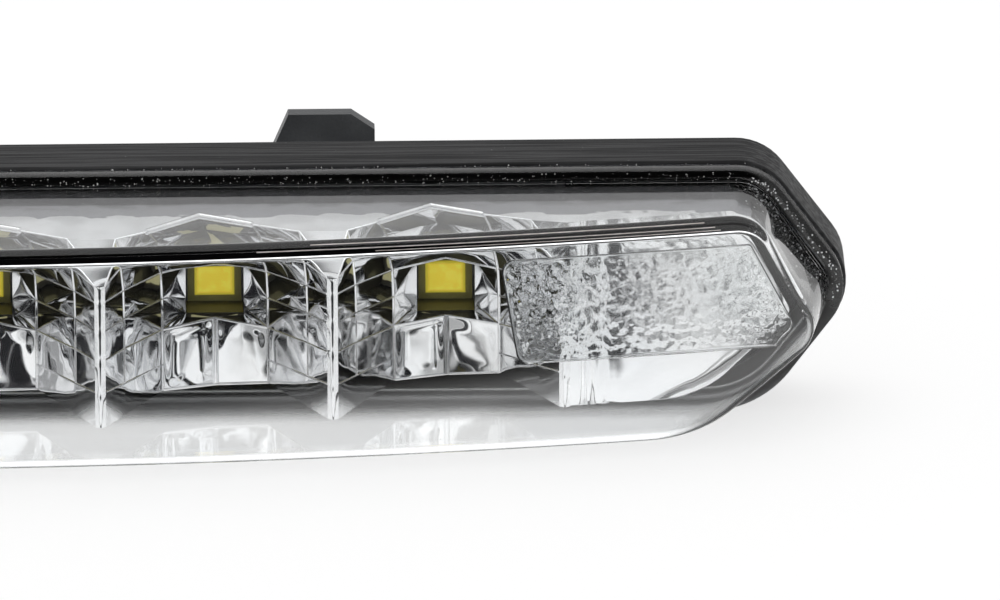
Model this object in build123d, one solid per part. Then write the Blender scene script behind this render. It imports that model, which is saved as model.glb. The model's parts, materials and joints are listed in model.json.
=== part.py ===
"""Daytime running light: slim six-emitter lamp with a faceted reflector.

Drawn with x along the lamp, y as depth behind the middle of the lens front and z
from mid-height.  At the end every part moves so that the origin is the middle of
the two bracket holes on the mounting face.
"""
import os
from math import atan2, copysign, hypot, sqrt, tan

from build123d import *

# Overall sizes, mm
EMITTER_COUNT = 6
EMITTER_PITCH = 21.5
END_LENGTH = 26.6
LAMP_HEIGHT = 24.0
FRONT_BOW_RADIUS = 351.0
LENS_DEPTH = 23.4
RIM_DEPTH = 9.0

# Rim outline: corners from the rim end, then corner radii
RIM_SHOULDER_BACK = 7.4
RIM_HEEL_BACK = 8.1
RIM_TIP_REACH = 1.4
RIM_TIP_RISE = 0.3
RIM_SHOULDER_RADIUS = 5.5
RIM_TIP_RADIUS = 5.4
RIM_HEEL_RADIUS = 10.0
RIM_FRONT_ROUND = 0.4
RIM_BACK_ROUND = 1.0

# Lens
LENS_WALL = 1.6
LENS_INSET = 1.4
LENS_DRAFT = 0.1
LENS_SHOULDER_TAPER = 0.6
LENS_TIP_TAPER = 4.3
LENS_TIP_DROP = 3.1
LENS_HEEL_TAPER = 8.8
LENS_FRONT_SHOULDER_RADIUS = 4.5
LENS_FRONT_TIP_RADIUS = 2.5
LENS_FRONT_HEEL_RADIUS = 15.0
LENS_FRONT_ROUND = 0.8
LIP_INSET = 0.3
LIP_THICKNESS = 1.8
TONGUE_LENGTH = 3.0
TONGUE_RELIEF = 0.4
JOINT_CLEARANCE = 0.15
SEAL_THICKNESS = 0.6
PANEL_THICKNESS = 0.3
PANEL_START = 6.1
PANEL_TOP = 7.6
PANEL_BOTTOM = -2.5
PANEL_SLANT = 1.7
PANEL_CORNER = 1.2
PANEL_MARGIN = 0.6

# Housing
TUB_INSET = 2.0
TUB_BACK = 1.6
FLOOR_THICKNESS = 2.0
WINDOW_CLEARANCE = 0.3
BOSS_RADIUS = 2.6
BOSS_HEIGHT = 2.4

# Reflector
REFLECTOR_CLEARANCE = 0.75
RIDGE_SETBACK = 6.2
RIDGE_WIDTH = 1.0
RIDGE_TOP = 5.4
CUP_HALF_WIDTH = 4.9
WALL_FOLD_SHARE = 0.33
ROW_RISE = 1.6
ROW_FOLD_RISE = 0.9
ROW_FOLD_LOW = 2.8
ROW_FOLD_HIGH = 5.7
ROW_DROP = 0.5
CUP_DEPTH = 4.2
CUP_LINE_RISE = 2.0
CUP_FOLD_RISE = 0.5
CUP_SILL_SETBACK = 18.6
CUP_SILL_HOLLOW = 0.7
CUP_EAVE_SETBACK = 10.0
CUP_EAVE_HOLLOW = 4.2
CUP_EAVE_LEAN = 1.4
CUP_EDGE_TURN = 0.22
WINDOW_HALF_WIDTH = 2.7
WINDOW_HALF_HEIGHT = 2.5
REFLECTOR_WALL = 1.2
WING_DEPTH = 18.0
PEG_RADIUS = 1.0
PEG_LENGTH = 1.3

# Board and light sources
BOARD_SETBACK = 5.8
BOARD_THICKNESS = 1.6
BOARD_HEIGHT = 15.0
BOARD_MARGIN = 5.25
PACKAGE_LENGTH = 5.0
PACKAGE_HEIGHT = 4.4
PACKAGE_THICKNESS = 1.1
PHOSPHOR_LENGTH = 3.7
PHOSPHOR_HEIGHT = 3.0
PHOSPHOR_THICKNESS = 0.3
PAD_THICKNESS = 0.5
PAD_HEIGHT = 10.4
PAD_MARGIN = 4.25

# Parts on the board, length by height by thickness
DRIVER_SIZE = (5.0, 4.0, 1.5)
INDUCTOR_SIZE = (6.2, 6.2, 3.0)
CAPACITOR_SIZE = (3.2, 2.5, 1.8)
DIODE_SIZE = (4.6, 2.7, 2.1)
CONNECTOR_SIZE = (6.4, 5.0, 4.2)
BOARD_PART_RISE = 2.4

# Heat sink
GASKET_THICKNESS = 0.6
GASKET_WIDTH = 1.6
SINK_BASE_THICKNESS = 2.4
SINK_HEIGHT = 18.4
SINK_END_MARGIN = 8.0
FIN_COUNT = 27
FIN_THICKNESS = 1.3
FIN_LENGTH = 6.4
FIN_HEIGHT = 15.6

# Screws
SMALL_SCREW_RADIUS = 1.2
SMALL_HEAD_RADIUS = 2.2
SMALL_HEAD_HEIGHT = 1.5
SMALL_SCREW_LENGTH = 6.0
SCREW_CLEARANCE = 0.1
BOARD_SCREW_DROP = 3.4
SINK_SCREW_OUT = 8.5
SINK_SCREW_RISE = 5.4
BRACKET_SCREW_RADIUS = 2.0
BRACKET_SCREW_LENGTH = 8.0
BRACKET_HEAD_RADIUS = 3.6
BRACKET_HEAD_HEIGHT = 2.6
DRIVE_RADIUS = 1.4
WASHER_RADIUS = 4.4
WASHER_THICKNESS = 0.9

# Brackets
BRACKET_SPACING = 86.0
BRACKET_THICKNESS = 2.0
BRACKET_WIDTH = 13.0
BRACKET_TOP = 11.3
BRACKET_TOP_INNER = -3.55
BRACKET_TOP_OUTER = 2.35
BRACKET_SHOULDER = 4.55
BRACKET_SHOULDER_HEIGHT = 9.8
BRACKET_FLARE_HEIGHT = 4.6
BRACKET_FOOT_LENGTH = 15.2
BRACKET_HOLE_BACK = 7.6
BRACKET_HOLE_RADIUS = 2.65
BRACKET_BEND = 1.2
BRACKET_FOOT_CORNER = 3.0

# Rear wall fittings
FITTING_INSET = 17.1
GROMMET_RADIUS = 4.0
GROMMET_BORE = 2.4
GROMMET_LIP = 1.4
GROMMET_LIP_THICKNESS = 1.4
GROMMET_NOSE = 4.6
GROMMET_NOSE_TAPER = 0.8
VENT_RADIUS = 2.4
VENT_CAP_RADIUS = 4.6
VENT_CAP_HEIGHT = 2.2

# Positions that follow from the sizes above
HALF_SPAN = EMITTER_COUNT * EMITTER_PITCH / 2
HALF_LENGTH = HALF_SPAN + END_LENGTH
HALF_HEIGHT = LAMP_HEIGHT / 2
LENS_HALF_HEIGHT = HALF_HEIGHT - LENS_INSET - LENS_DRAFT
REFLECTOR_HALF_HEIGHT = LENS_HALF_HEIGHT - LENS_WALL - REFLECTOR_CLEARANCE
TONGUE_BACK = LENS_DEPTH + TONGUE_LENGTH
LEDGE = TONGUE_BACK + SEAL_THICKNESS
CAVITY_INSET = LENS_INSET + LENS_WALL
RIM_BACK = LENS_DEPTH + RIM_DEPTH
HOUSING_BACK = RIM_BACK + TUB_BACK
FLOOR = HOUSING_BACK - FLOOR_THICKNESS
BOARD = LENS_DEPTH + BOARD_SETBACK
BOARD_BACK = BOARD + BOARD_THICKNESS
PAD_BACK = BOARD_BACK + PAD_THICKNESS
BOARD_HALF = HALF_SPAN - BOARD_MARGIN
PAD_HALF = BOARD_HALF - PAD_MARGIN
SINK = HOUSING_BACK + GASKET_THICKNESS
FIN_FOOT = SINK + SINK_BASE_THICKNESS
FIN_TIP = FIN_FOOT + FIN_LENGTH
LEG_BACK = FIN_TIP + BRACKET_THICKNESS
HOLE_DEPTH = LEG_BACK + BRACKET_HOLE_BACK
SINK_HALF = PAD_HALF + SINK_END_MARGIN + SMALL_HEAD_RADIUS
SINK_SCREW_X = PAD_HALF + SINK_SCREW_OUT
FITTING_X = HALF_LENGTH - FITTING_INSET
WING_BACK = RIDGE_SETBACK + WING_DEPTH
RIDGES = [-HALF_SPAN + i * EMITTER_PITCH for i in range(EMITTER_COUNT + 1)]
EMITTERS = [-HALF_SPAN + (i + 0.5) * EMITTER_PITCH for i in range(EMITTER_COUNT)]
INNER_RIDGES = RIDGES[1:-1]


def bow(x):
    """Depth of the bowed lens front at x."""
    return FRONT_BOW_RADIUS - sqrt(FRONT_BOW_RADIUS**2 - x**2)


def at_depth(sketch, depth):
    """Stand a sketch drawn in x and z upright at a depth."""
    return Plane(origin=(0, depth, 0), x_dir=(1, 0, 0), z_dir=(0, -1, 0)) * sketch


def slab(sketch, front, back):
    return extrude(at_depth(sketch, front), amount=back - front, dir=(0, 1, 0))


def block(x, z, length, height, front, back):
    return slab(Pos(x, z) * Rectangle(length, height), front, back)


def rod(x, z, radius, front, back):
    return slab(Pos(x, z) * Circle(radius), front, back)


def bowed_mass(setback):
    """Everything behind the bowed front, set back by an even distance."""
    radius = FRONT_BOW_RADIUS - setback
    return Pos(0, FRONT_BOW_RADIUS, 0) * Cylinder(radius, 3 * LAMP_HEIGHT)


def inset_polygon(points, distance):
    """Move each side of a clockwise polygon inward by the distance."""
    sides = []
    for start, end in zip(points, points[1:] + points[:1]):
        run = (end[0] - start[0], end[1] - start[1])
        length = hypot(*run)
        inward = (run[1] / length, -run[0] / length)
        foot = (start[0] + inward[0] * distance, start[1] + inward[1] * distance)
        sides.append((foot, run))
    moved = []
    for (p, a), (q, b) in zip(sides[-1:] + sides[:-1], sides):
        cross = a[0] * b[1] - a[1] * b[0]
        share = ((q[0] - p[0]) * b[1] - (q[1] - p[1]) * b[0]) / cross
        moved.append((p[0] + a[0] * share, p[1] + a[1] * share))
    return moved


def rounded(points, radii, inset=0.0):
    """Six-cornered end-to-end outline with a radius for shoulder, tip and heel."""
    shoulder, tip, heel = [max(radius - inset, 0.5) for radius in radii]
    corner_radii = [shoulder, shoulder, tip, heel, heel, tip]
    path = FilletPolyline(*inset_polygon(points, inset), radius=corner_radii, close=True)
    return make_face(path)


def six_corners(shoulder, tip, heel, half_height):
    """Corner points clockwise from the left shoulder."""
    return [
        (-shoulder, half_height),
        (shoulder, half_height),
        tip,
        (heel, -half_height),
        (-heel, -half_height),
        (-tip[0], tip[1]),
    ]


RIM_CORNERS = six_corners(
    HALF_LENGTH - RIM_SHOULDER_BACK,
    (HALF_LENGTH + RIM_TIP_REACH, RIM_TIP_RISE),
    HALF_LENGTH - RIM_HEEL_BACK,
    HALF_HEIGHT,
)
RIM_RADII = (RIM_SHOULDER_RADIUS, RIM_TIP_RADIUS, RIM_HEEL_RADIUS)


def rim_outline(inset=0.0):
    return rounded(RIM_CORNERS, RIM_RADII, inset)


def lens_outline(depth, inset=0.0):
    """Outline of the lens wall at a depth, between its front and its foot."""
    share = depth / LENS_DEPTH
    back = inset_polygon(RIM_CORNERS, LENS_INSET)
    front = six_corners(
        back[1][0] - LENS_SHOULDER_TAPER,
        (back[2][0] - LENS_TIP_TAPER, back[2][1] - LENS_TIP_DROP),
        back[3][0] - LENS_HEEL_TAPER,
        LENS_HALF_HEIGHT,
    )
    points = [
        (f[0] + (b[0] - f[0]) * share, f[1] + (b[1] - f[1]) * share)
        for f, b in zip(front, back)
    ]
    front_radii = (
        LENS_FRONT_SHOULDER_RADIUS,
        LENS_FRONT_TIP_RADIUS,
        LENS_FRONT_HEEL_RADIUS,
    )
    back_radii = [radius - LENS_INSET for radius in RIM_RADII]
    radii = [f + (b - f) * share for f, b in zip(front_radii, back_radii)]
    return rounded(points, radii, inset)


def lens_mass(inset, setback):
    """Solid within the lens walls and behind the bowed front."""
    start = -1.0
    sections = [
        at_depth(lens_outline(start, inset), start),
        at_depth(lens_outline(LENS_DEPTH, inset), LENS_DEPTH),
    ]
    return loft(sections, ruled=True) & bowed_mass(setback)


def front_edges(solid):
    """Edges around the bowed front face."""
    face = solid.faces().sort_by(Axis.Y)[0]
    return face.edges()


def end_panel(side):
    """Raised pebbled panel on the inner face of the lens front."""
    start = HALF_SPAN - PANEL_START
    corners = [
        (start, PANEL_TOP),
        (HALF_LENGTH, PANEL_TOP),
        (HALF_LENGTH, PANEL_BOTTOM),
        (start + PANEL_SLANT, PANEL_BOTTOM),
    ]
    field = make_face(FilletPolyline(*corners, radius=PANEL_CORNER, close=True))
    mid_depth = bow(HALF_LENGTH)
    edge = lens_outline(mid_depth, LENS_WALL + PANEL_MARGIN)
    sketch = field & edge
    if side < 0:
        sketch = mirror(sketch, about=Plane.YZ)
    layer = slab(sketch, 0, LENS_DEPTH) & bowed_mass(LENS_WALL - 0.1)
    return layer - bowed_mass(LENS_WALL + PANEL_THICKNESS)


def make_lens():
    outer = lens_mass(0.0, 0.0)
    outer = fillet(front_edges(outer), LENS_FRONT_ROUND)
    lip = slab(rim_outline(LIP_INSET), LENS_DEPTH - LIP_THICKNESS, LENS_DEPTH)
    tongue = slab(rim_outline(LENS_INSET + TONGUE_RELIEF), LENS_DEPTH, TONGUE_BACK)
    hollow = lens_mass(LENS_WALL, LENS_WALL)
    mouth = slab(rim_outline(CAVITY_INSET), LENS_DEPTH, TONGUE_BACK)
    lens = outer + lip + tongue - hollow - mouth
    for side in (-1, 1):
        lens = lens + end_panel(side)
    return lens


def make_seal():
    outside = rim_outline(LENS_INSET + TONGUE_RELIEF)
    return slab(outside - rim_outline(CAVITY_INSET), TONGUE_BACK, LEDGE)


def sink_screw_points():
    return [
        (side * SINK_SCREW_X, level * SINK_SCREW_RISE)
        for side in (-1, 1)
        for level in (-1, 1)
    ]


def make_housing():
    rim = slab(rim_outline(), LENS_DEPTH, RIM_BACK)
    ends = rim.faces().sort_by(Axis.Y)
    rim = fillet(ends[0].edges(), RIM_FRONT_ROUND)
    rim = fillet(rim.faces().sort_by(Axis.Y)[-1].edges(), RIM_BACK_ROUND)
    tub = slab(rim_outline(TUB_INSET), RIM_BACK - RIM_BACK_ROUND, HOUSING_BACK)
    rebate_inset = LENS_INSET + TONGUE_RELIEF - JOINT_CLEARANCE
    rebate = slab(rim_outline(rebate_inset), LENS_DEPTH - 1, LEDGE)
    cavity = slab(rim_outline(CAVITY_INSET), LEDGE - 1, FLOOR)
    window = block(
        0,
        0,
        2 * (PAD_HALF + WINDOW_CLEARANCE),
        PAD_HEIGHT + 2 * WINDOW_CLEARANCE,
        FLOOR - 1,
        HOUSING_BACK + 1,
    )
    housing = rim + tub - rebate - cavity - window
    for x, z in sink_screw_points():
        housing = housing + rod(x, z, BOSS_RADIUS, FLOOR - BOSS_HEIGHT, FLOOR + 0.5)
    for x, z in sink_screw_points():
        bore = SMALL_SCREW_RADIUS + SCREW_CLEARANCE
        housing = housing - rod(x, z, bore, FLOOR - BOSS_HEIGHT - 1, HOUSING_BACK + 1)
    housing = housing - rod(FITTING_X, 0, GROMMET_RADIUS, FLOOR - 1, HOUSING_BACK + 1)
    return housing - rod(-FITTING_X, 0, VENT_RADIUS, FLOOR - 1, HOUSING_BACK + 1)


def row_levels(rise):
    """Heights of the fold rows, bottom to top, lifted between the two edges."""
    edge = REFLECTOR_HALF_HEIGHT
    inner = [-ROW_FOLD_HIGH, -ROW_FOLD_LOW, 0.0, ROW_FOLD_LOW, ROW_FOLD_HIGH]
    lifted = [level - ROW_DROP + rise * (1 - (level / edge) ** 6) for level in inner]
    return [-edge] + lifted + [edge]


def ridge_levels():
    """Heights along a ridge, which stops short of the top edge."""
    return row_levels(ROW_RISE)[:-2] + [RIDGE_TOP, RIDGE_TOP]


def eave_lean(emitter):
    """Sideways lean of a cup's upper edge, toward the middle of the lamp."""
    return -copysign(CUP_EAVE_LEAN, emitter)


def wall_columns(emitter, side):
    """Three fold columns of one cup wall: ridge, wall fold and cup line."""
    floor = BOARD - CUP_DEPTH
    ridge_x = emitter + side * (EMITTER_PITCH - RIDGE_WIDTH) / 2
    line_x = emitter + side * CUP_HALF_WIDTH
    fold_x = ridge_x + (line_x - ridge_x) * WALL_FOLD_SHARE
    ridge_y = RIDGE_SETBACK + bow(emitter + side * EMITTER_PITCH / 2)
    line_y = floor - CUP_LINE_RISE
    turn = copysign(CUP_EDGE_TURN, emitter) * side * CUP_HALF_WIDTH
    levels = row_levels(0.0)
    columns = [[], [], []]
    for index, level in enumerate(levels):
        share = (level / REFLECTOR_HALF_HEIGHT) ** 2
        lean = eave_lean(emitter) * share if level > 0 else 0.0
        edge_y = (CUP_EAVE_SETBACK if level > 0 else CUP_SILL_SETBACK) + bow(emitter) + turn
        cup_y = line_y + (edge_y - line_y) * share
        fold_y = ridge_y + (cup_y - ridge_y) * (WALL_FOLD_SHARE + 0.08 * (1 - share))
        columns[0].append((ridge_x, ridge_y, ridge_levels()[index]))
        columns[1].append((fold_x + lean / 2, fold_y, row_levels(ROW_FOLD_RISE)[index]))
        columns[2].append((line_x + lean, cup_y, level))
    return columns


def triangles(a, b, c, d):
    return [corners for corners in ((a, b, c), (a, c, d)) if len(set(corners)) == 3]


def strips(first, second):
    """Facets between two fold columns."""
    found = []
    for low in range(len(first) - 1):
        found += triangles(first[low], second[low], second[low + 1], first[low + 1])
    return found


def cup_facets(emitter):
    """Front facets of one cup, and its lower and upper edge points."""
    floor = BOARD - CUP_DEPTH
    left = wall_columns(emitter, -1)
    right = wall_columns(emitter, 1)
    found = strips(left[0], left[1]) + strips(left[1], left[2])
    found += strips(right[2], right[1]) + strips(right[1], right[0])
    left_line = left[2]
    right_line = right[2]
    half_height = REFLECTOR_HALF_HEIGHT
    corner = {}
    for s in (-1, 1):
        for t in (-1, 1):
            spot = (emitter + s * WINDOW_HALF_WIDTH, floor, t * WINDOW_HALF_HEIGHT)
            corner[s, t] = spot
    found += triangles(corner[-1, -1], corner[1, -1], corner[1, 1], corner[-1, 1])
    middle = len(left_line) // 2
    edges = {}
    for level, near, far, end in ((-1, middle - 1, middle - 2, 0), (1, middle + 1, middle + 2, -1)):
        fold = (emitter, floor - CUP_FOLD_RISE, level * ROW_FOLD_LOW)
        eave = CUP_EAVE_SETBACK + CUP_EAVE_HOLLOW
        sill = CUP_SILL_SETBACK + CUP_SILL_HOLLOW
        edge_y = (eave if level > 0 else sill) + bow(emitter)
        lean = eave_lean(emitter) if level > 0 else 0.0
        edge = (emitter + lean, edge_y, level * half_height)
        rise = (ROW_FOLD_HIGH - ROW_FOLD_LOW) / (half_height - ROW_FOLD_LOW)
        halfway = (emitter + lean * rise, fold[1] + (edge_y - fold[1]) * rise, level * ROW_FOLD_HIGH)
        for line, s in ((left_line, -1), (right_line, 1)):
            found += triangles(line[end], edge, halfway, line[far])
            found += triangles(line[far], halfway, fold, line[near])
            found.append((line[near], fold, corner[s, level]))
        found.append((fold, corner[-1, level], corner[1, level]))
        edges[level] = [left_line[end], edge, right_line[end]]
    for line, s in ((left_line, -1), (right_line, 1)):
        found.append((line[middle - 1], corner[s, -1], line[middle]))
        found.append((line[middle], corner[s, -1], corner[s, 1]))
        found.append((line[middle], corner[s, 1], line[middle + 1]))
    low = [left[0][0], left[1][0]] + edges[-1] + [right[1][0], right[0][0]]
    high = [left[1][-1]] + edges[1] + [right[1][-1]]
    return found, low, high


def polygon_face(points):
    return Face(Wire.make_polygon([Vector(*point) for point in points], close=True))


def faceted_block():
    """The cups as one closed body with a flat back against the board."""
    found = []
    low_edge = []
    high_edge = []
    for emitter in EMITTERS:
        facets, low, high = cup_facets(emitter)
        found += facets
        low_edge += low
        high_edge += high
    half_height = REFLECTOR_HALF_HEIGHT
    half = HALF_SPAN + RIDGE_WIDTH / 2
    tip = RIDGE_SETBACK + bow(HALF_SPAN)
    rise = ridge_levels()
    brow = [(-half, tip, half_height)] + high_edge + [(half, tip, half_height)]
    for index, ridge in enumerate(RIDGES):
        front = RIDGE_SETBACK + bow(ridge)
        sides = []
        for side in (-1, 1):
            sides.append([(ridge + side * RIDGE_WIDTH / 2, front, level) for level in rise])
        found += strips(sides[0], sides[1])
        before, after = brow[5 * index], brow[5 * index + 1]
        found += triangles(sides[0][-1], sides[1][-1], after, before)
    faces = [polygon_face(facet) for facet in found]
    for level, edge in ((-half_height, low_edge), (half_height, high_edge)):
        rim = [(-half, tip, level)] + edge + [(half, tip, level)]
        back = [(half, BOARD, level), (-half, BOARD, level)]
        faces.append(polygon_face(rim + back))
    for side in (-1, 1):
        column = [(side * half, tip, level) for level in rise[:-1]]
        column.append((side * half, tip, half_height))
        back = [(side * half, BOARD, half_height), (side * half, BOARD, -half_height)]
        faces.append(polygon_face(column + back))
    back = [(s * half, BOARD, t * half_height) for s, t in ((-1, -1), (1, -1), (1, 1), (-1, 1))]
    faces.append(polygon_face(back))
    return Solid(Shell(faces))


def ridge_hollow(ridge):
    """Hollow behind one ridge, keeping an even wall to the cup sides."""
    emitter = ridge - EMITTER_PITCH / 2
    column = wall_columns(emitter, 1)
    middle = len(column[0]) // 2
    points = []
    for (near, far) in ((column[0], column[1]), (column[1], column[2])):
        run = (near[middle][0] - far[middle][0], far[middle][1] - near[middle][1])
        shift = REFLECTOR_WALL * hypot(*run) / run[1]
        points.append((ridge - far[middle][0] - shift, far[middle][1]))
    start = points[0][1] - 2 * REFLECTOR_WALL
    tip = points[0][0] * 0.6
    half = [(tip, start)] + points + [(points[-1][0], BOARD + 1)]
    outline = [(ridge + x, y) for x, y in half] + [(ridge - x, y) for x, y in reversed(half)]
    depth = REFLECTOR_HALF_HEIGHT - REFLECTOR_WALL
    return extrude(Pos(0, 0, -depth) * make_face(Polyline(*outline, close=True)), amount=2 * depth)


def reflector_wing(side):
    """Hollow blank end beyond the last cup, shaped to the lens end."""
    depth = bow(HALF_LENGTH)
    half_height = LENS_HALF_HEIGHT + LENS_DRAFT * depth / LENS_DEPTH
    inset = half_height - REFLECTOR_HALF_HEIGHT
    near = HALF_SPAN
    outer = slab(lens_outline(depth, inset), 0, WING_BACK) & bowed_mass(RIDGE_SETBACK)
    inner = slab(lens_outline(depth, inset + REFLECTOR_WALL), 0, WING_BACK + 1)
    inner = inner & bowed_mass(RIDGE_SETBACK + REFLECTOR_WALL)
    reach = 2 * END_LENGTH
    outer = outer & block(side * (near + reach / 2), 0, reach, LAMP_HEIGHT, 0, BOARD)
    wall = near + RIDGE_WIDTH / 2
    return outer - (inner & block(side * (wall + reach / 2), 0, reach, LAMP_HEIGHT, 0, BOARD))


def peg_points():
    level = (ROW_FOLD_HIGH + REFLECTOR_HALF_HEIGHT) / 2 - PEG_RADIUS / 2
    return [(EMITTERS[0], level), (EMITTERS[-1], level)]


def make_reflector():
    reflector = Part() + faceted_block()
    for ridge in INNER_RIDGES:
        reflector = reflector - ridge_hollow(ridge)
    opening_length = 2 * WINDOW_HALF_WIDTH - 0.1
    opening_height = 2 * WINDOW_HALF_HEIGHT - 0.1
    for emitter in EMITTERS:
        reflector = reflector - block(
            emitter, 0, opening_length, opening_height, BOARD - CUP_DEPTH - 0.5, BOARD + 1
        )
    for side in (-1, 1):
        reflector = reflector + reflector_wing(side)
    for x, z in peg_points():
        reflector = reflector + rod(x, z, PEG_RADIUS, BOARD - 0.5, BOARD + PEG_LENGTH)
    return reflector


def board_screw_points():
    return [(ridge, -BOARD_SCREW_DROP) for ridge in INNER_RIDGES if abs(ridge) > 1]


def make_board():
    board = block(0, 0, 2 * BOARD_HALF, BOARD_HEIGHT, BOARD, BOARD_BACK)
    for x, z in board_screw_points():
        board = board - rod(x, z, SMALL_SCREW_RADIUS + 0.2, BOARD - 1, BOARD_BACK + 1)
    for x, z in peg_points():
        board = board - rod(x, z, PEG_RADIUS + 0.1, BOARD - 1, BOARD_BACK + 1)
    return board


def make_package(emitter):
    body = block(
        emitter, 0, PACKAGE_LENGTH, PACKAGE_HEIGHT, BOARD - PACKAGE_THICKNESS, BOARD
    )
    return body


def make_phosphor(emitter):
    back = BOARD - PACKAGE_THICKNESS
    return block(
        emitter, 0, PHOSPHOR_LENGTH, PHOSPHOR_HEIGHT, back - PHOSPHOR_THICKNESS, back
    )


def make_thermal_pad():
    pad = block(0, 0, 2 * PAD_HALF, PAD_HEIGHT, BOARD_BACK, PAD_BACK)
    for x, z in board_screw_points():
        pad = pad - rod(x, z, SMALL_SCREW_RADIUS + 0.4, BOARD_BACK - 1, PAD_BACK + 1)
    return pad


def make_rear_gasket():
    length = 2 * (PAD_HALF + WINDOW_CLEARANCE)
    height = PAD_HEIGHT + 2 * WINDOW_CLEARANCE
    ring = Rectangle(length + 2 * GASKET_WIDTH, height + 2 * GASKET_WIDTH)
    return slab(ring - Rectangle(length, height), HOUSING_BACK, SINK)


def fin_places():
    """Fins on an even pitch, left out where the bracket bosses stand."""
    pitch = 2 * PAD_HALF / (FIN_COUNT - 1)
    clear = (BRACKET_WIDTH + FIN_THICKNESS) / 2 + 1.0
    places = [-PAD_HALF + i * pitch for i in range(FIN_COUNT)]
    return [x for x in places if abs(abs(x) - BRACKET_SPACING / 2) > clear]


def make_heat_sink():
    sink = block(0, 0, 2 * SINK_HALF, SINK_HEIGHT, SINK, FIN_FOOT)
    sink = sink + block(0, 0, 2 * PAD_HALF, PAD_HEIGHT, PAD_BACK, SINK + 0.5)
    for x in fin_places():
        sink = sink + block(x, 0, FIN_THICKNESS, FIN_HEIGHT, FIN_FOOT - 0.5, FIN_TIP)
    for side in (-1, 1):
        x = side * BRACKET_SPACING / 2
        sink = sink + block(x, 0, BRACKET_WIDTH, FIN_HEIGHT, FIN_FOOT - 0.5, FIN_TIP)
    for side in (-1, 1):
        hole = BRACKET_SCREW_RADIUS + SCREW_CLEARANCE
        depth = FIN_TIP + BRACKET_THICKNESS + WASHER_THICKNESS - BRACKET_SCREW_LENGTH
        sink = sink - rod(side * BRACKET_SPACING / 2, 0, hole, depth - 0.5, FIN_TIP + 1)
    for x, z in board_screw_points():
        hole = SMALL_SCREW_RADIUS + SCREW_CLEARANCE
        sink = sink - rod(x, z, hole, PAD_BACK - 1, BOARD + SMALL_SCREW_LENGTH + 0.5)
    for x, z in sink_screw_points():
        sink = sink - rod(x, z, SMALL_SCREW_RADIUS + 0.2, SINK - 1, FIN_FOOT + 1)
    return sink


def pan_screw(x, z, seat, length, radius, head_radius, head_height, way):
    """Pan-head screw whose shank runs from the seat in direction way along depth."""
    shank = sorted((seat, seat + way * length))
    head = sorted((seat, seat - way * head_height))
    top = seat - way * head_height
    body = rod(x, z, radius, *shank) + rod(x, z, head_radius, *head)
    rim = body.edges().filter_by(GeomType.CIRCLE).filter_by(
        lambda edge: abs(edge.center().Y - top) < 1e-4
    )
    body = fillet(rim, head_height * 0.4)
    socket = sorted((top - way * 0.5, top + way * head_height * 0.55))
    cut = RegularPolygon(DRIVE_RADIUS * radius / BRACKET_SCREW_RADIUS, 6)
    return body - slab(Pos(x, z) * cut, *socket)


def small_screw(x, z, seat, way):
    return pan_screw(
        x, z, seat, SMALL_SCREW_LENGTH, SMALL_SCREW_RADIUS, SMALL_HEAD_RADIUS, SMALL_HEAD_HEIGHT, way
    )


def make_board_screws():
    return Compound([small_screw(x, z, BOARD, 1) for x, z in board_screw_points()])


def make_sink_screws():
    return Compound([small_screw(x, z, FIN_FOOT, -1) for x, z in sink_screw_points()])


def board_part(index, size, z=BOARD_PART_RISE, shift=0.0):
    """Rectangular part soldered to the board inside a ridge hollow."""
    length, height, thickness = size
    return block(INNER_RIDGES[index] + shift, z, length, height, BOARD - thickness, BOARD)


def make_capacitors():
    gap = CAPACITOR_SIZE[1] + 0.6
    levels = (BOARD_PART_RISE - gap / 2, BOARD_PART_RISE + gap / 2)
    return Compound([board_part(3, CAPACITOR_SIZE, z) for z in levels])


def make_inductor():
    body = board_part(1, INDUCTOR_SIZE)
    edges = body.edges().filter_by(Axis.Y)
    return chamfer(edges, INDUCTOR_SIZE[0] * 0.16)


def make_connector():
    length, height, thickness = CONNECTOR_SIZE
    x = INNER_RIDGES[-1]
    body = board_part(-1, CONNECTOR_SIZE)
    for side in (-1, 1):
        mouth = block(
            x + side * length / 4,
            BOARD_PART_RISE,
            length / 2 - 1.2,
            height - 1.8,
            BOARD - thickness - 1,
            BOARD - 1.2,
        )
        body = body - mouth
    return body


def make_grommet():
    bore = GROMMET_BORE
    nose = HOUSING_BACK + GROMMET_LIP_THICKNESS + GROMMET_NOSE
    lip = GROMMET_RADIUS + GROMMET_LIP
    inner = FLOOR - GROMMET_LIP_THICKNESS
    outer = HOUSING_BACK + GROMMET_LIP_THICKNESS
    slim = GROMMET_RADIUS - GROMMET_NOSE_TAPER
    profile = [
        (bore, inner),
        (lip - GROMMET_NOSE_TAPER / 2, inner),
        (lip, FLOOR),
        (GROMMET_RADIUS, FLOOR),
        (GROMMET_RADIUS, HOUSING_BACK),
        (lip, HOUSING_BACK),
        (lip, outer),
        (GROMMET_RADIUS, outer),
        (slim, nose),
        (bore, nose),
    ]
    face = make_face(Polyline(*profile, close=True))
    return Pos(FITTING_X, 0, 0) * revolve(face, axis=Axis.Y)


def make_vent():
    inner = FLOOR - 0.8
    cap = HOUSING_BACK + VENT_CAP_HEIGHT
    stem = rod(-FITTING_X, 0, VENT_RADIUS, inner, HOUSING_BACK + 0.5)
    top = rod(-FITTING_X, 0, VENT_CAP_RADIUS, HOUSING_BACK, cap)
    rim = top.edges().filter_by(lambda edge: abs(edge.center().Y - cap) < 1e-4)
    return stem + fillet(rim, VENT_CAP_HEIGHT * 0.3)


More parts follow.
